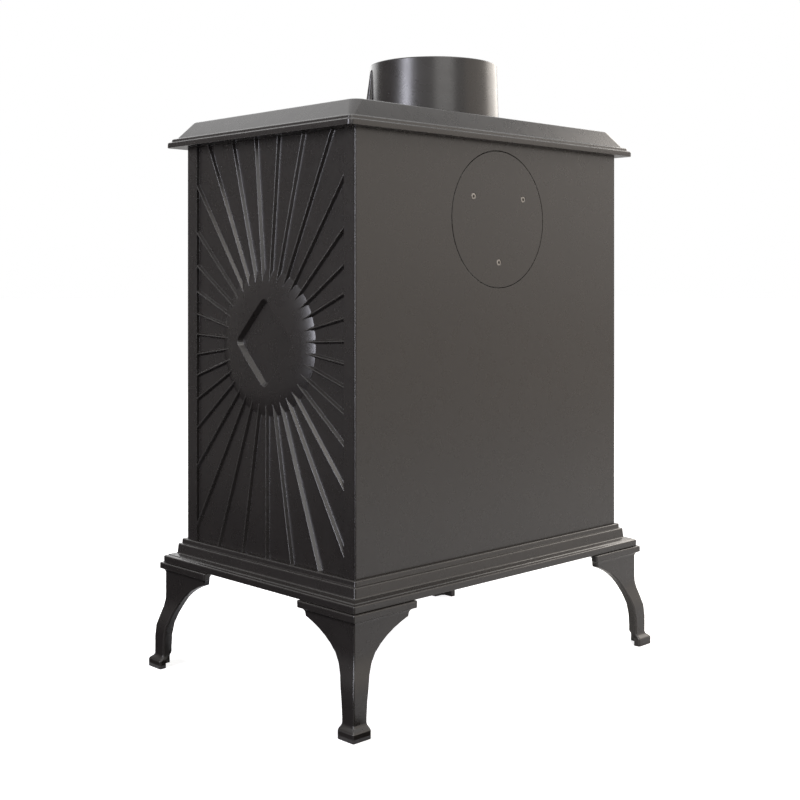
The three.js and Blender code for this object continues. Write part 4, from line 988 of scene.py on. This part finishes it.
for node in ("fire_door_rope_seal", "ash_door_rope_seal"):
    low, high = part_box(node)
    inset = ROPE_WIDTH * MM
    size = (high.x - low.x - inset, high.z - low.z - inset, 1)
    bpy.ops.object.select_all(action="DESELECT")
    bpy.ops.mesh.primitive_plane_add(size=1)
    groove = bpy.context.active_object
    bpy.ops.object.mode_set(mode="EDIT")
    bpy.ops.mesh.select_all(action="SELECT")
    bpy.ops.transform.resize(value=size)
    bpy.ops.mesh.bevel(offset=ROPE_CORNER, segments=8, affect="VERTICES")
    bpy.ops.mesh.select_all(action="SELECT")
    bpy.ops.mesh.delete(type="ONLY_FACE")
    bpy.ops.object.mode_set(mode="OBJECT")
    bpy.ops.object.convert(target="CURVE")
    length = groove.data.splines[0].calc_length()
    turns = round(length / (LAY_MM * MM))
    section = []
    for point in range(SECTION_POINTS + 1):
        angle = math.tau * point / SECTION_POINTS
        sunk = STRAND_GROOVE * abs(math.sin(STRANDS / 2 * angle)) ** STRAND_POWER
        lobe = ROPE_WIDTH / 2 - STRAND_INSET - sunk
        section.append(Vector((0, lobe * math.cos(angle), lobe * math.sin(angle))) * MM)
    seal = drawn(node + "_laid", section)
    turn_outwards(seal)
    steps = turns * STEPS_PER_LAY
    apply_modifier(
        seal,
        "SCREW",
        axis="X",
        angle=math.tau * turns,
        screw_offset=length,
        steps=steps,
        render_steps=steps,
    )
    apply_modifier(seal, "CURVE", object=groove, deform_axis="POS_X")
    bpy.data.objects.remove(groove)
    only(seal)
    bpy.ops.object.mode_set(mode="EDIT")
    bpy.ops.mesh.select_all(action="SELECT")
    bpy.ops.mesh.remove_doubles(threshold=0.1 * MM)
    bpy.ops.transform.resize(value=(1, 1, PRESSED), center_override=(0, 0, 0))
    bpy.ops.transform.rotate(value=math.radians(90), orient_axis="X", center_override=(0, 0, 0))
    bpy.ops.transform.translate(value=(low + high) / 2)
    bpy.ops.object.mode_set(mode="OBJECT")
    turn_outwards(seal)
    dress(seal, graphite_rope)
    finish_piece(seal, node, smooth_angle=70)
    print(node, "rope", round(length, 3), "m,", turns, "turns of lay")

# %% [markdown]
# The window is glass ceramic, which stands the fire's heat. It has a faint amber tint, and smoke
# has left a thin haze on it, so it mirrors the room sharply in one place and softly in the next.

# %% window
ceramic_glass, tree = new_material("amber_glass_ceramic_with_smoke_haze")
place = add_node(tree, "ShaderNodeTexCoord").outputs["Object"]
veil = {"Vector": place, "Scale": per(60), "Detail": 5.0, "Roughness": 0.65}
haze = add_node(tree, "ShaderNodeTexNoise", inputs=veil)
film = {SHARE: haze, FIRST: colour("#F3E8D2"), SECOND: colour("#C4AE8A")}
tint = add_node(tree, "ShaderNodeMix", {"data_type": "RGBA"}, film)
clear = {"Value": haze, "From Min": 0.4, "From Max": 0.75, "To Min": 0.02, "To Max": 0.13}
blur = add_node(tree, "ShaderNodeMapRange", inputs=clear)
clarity = {"IOR": 1.54, "Transmission Weight": 1.0}
look = {"Base Color": tint.outputs[MIXED], "Roughness": blur, **clarity}
glass = add_node(tree, "ShaderNodeBsdfPrincipled", inputs=look)
add_node(tree, "ShaderNodeOutputMaterial", inputs={"Surface": glass})

pane = merged_copy("door_glass", "door_glass_pane")
dress(pane, ceramic_glass)
round_arrises(pane, 0.5)
finish_piece(pane, "door_glass")

# %% [markdown]
# The fire bricks are slabs of pressed vermiculite, a mica that puffs up into gold-brown flakes.
# Each flake is a few millimetres across and lies at its own angle, so the slab sparkles buff and
# brown where it is clean. Smoke has browned it in clouds.

# %% fire bricks
fire_brick, tree = new_material("pressed_vermiculite_fire_brick")
place = add_node(tree, "ShaderNodeTexCoord").outputs["Object"]
flake = add_node(tree, "ShaderNodeTexVoronoi", inputs={"Vector": place, "Scale": per(3.2)})
grain = {"Vector": place, "Scale": per(1.4), "Detail": 3.0, "Roughness": 0.7}
grit = add_node(tree, "ShaderNodeTexNoise", inputs=grain)
cloud = {"Vector": place, "Scale": per(70), "Detail": 5.0, "Roughness": 0.6}
smoke = add_node(tree, "ShaderNodeTexNoise", inputs=cloud)
golds = {SHARE: flake.outputs["Color"], FIRST: colour("#9C8259"), SECOND: colour("#D9C7A0")}
flakes = add_node(tree, "ShaderNodeMix", {"data_type": "RGBA"}, golds)
soiled = {"Value": smoke, "From Min": 0.42, "From Max": 0.75, "To Max": 0.8}
soil = add_node(tree, "ShaderNodeMapRange", inputs=soiled)
stained = {SHARE: soil, FIRST: flakes.outputs[MIXED], SECOND: colour("#3A2E25")}
tone = add_node(tree, "ShaderNodeMix", {"data_type": "RGBA"}, stained)
dents = {"Height": flake, "Strength": 0.5, "Distance": 0.4 * MM}
dented = add_node(tree, "ShaderNodeBump", inputs=dents)
gritty = {"Height": grit, "Strength": 0.4, "Distance": 0.2 * MM, "Normal": dented}
surface = add_node(tree, "ShaderNodeBump", inputs=gritty)
look = {"Base Color": tone.outputs[MIXED], "Roughness": 0.86, "Normal": surface}
brick = add_node(tree, "ShaderNodeBsdfPrincipled", inputs=look)
add_node(tree, "ShaderNodeOutputMaterial", inputs={"Surface": brick})

for node in ("side_brick_right", "side_brick_left", "rear_brick"):
    slab = merged_copy(node, node + "_slab")
    dress(slab, fire_brick)
    round_arrises(slab, 1.2, segments=3)
    finish_piece(slab, node)

# %% [markdown]
# None of a dressed model's plain pieces may be left showing. A node that was forgotten stops the
# script.

# %% no plain node left, and the end
for name, node in nodes.items():
    if not node.hide_render:
        raise RuntimeError("a CAD node is still plain: " + name)
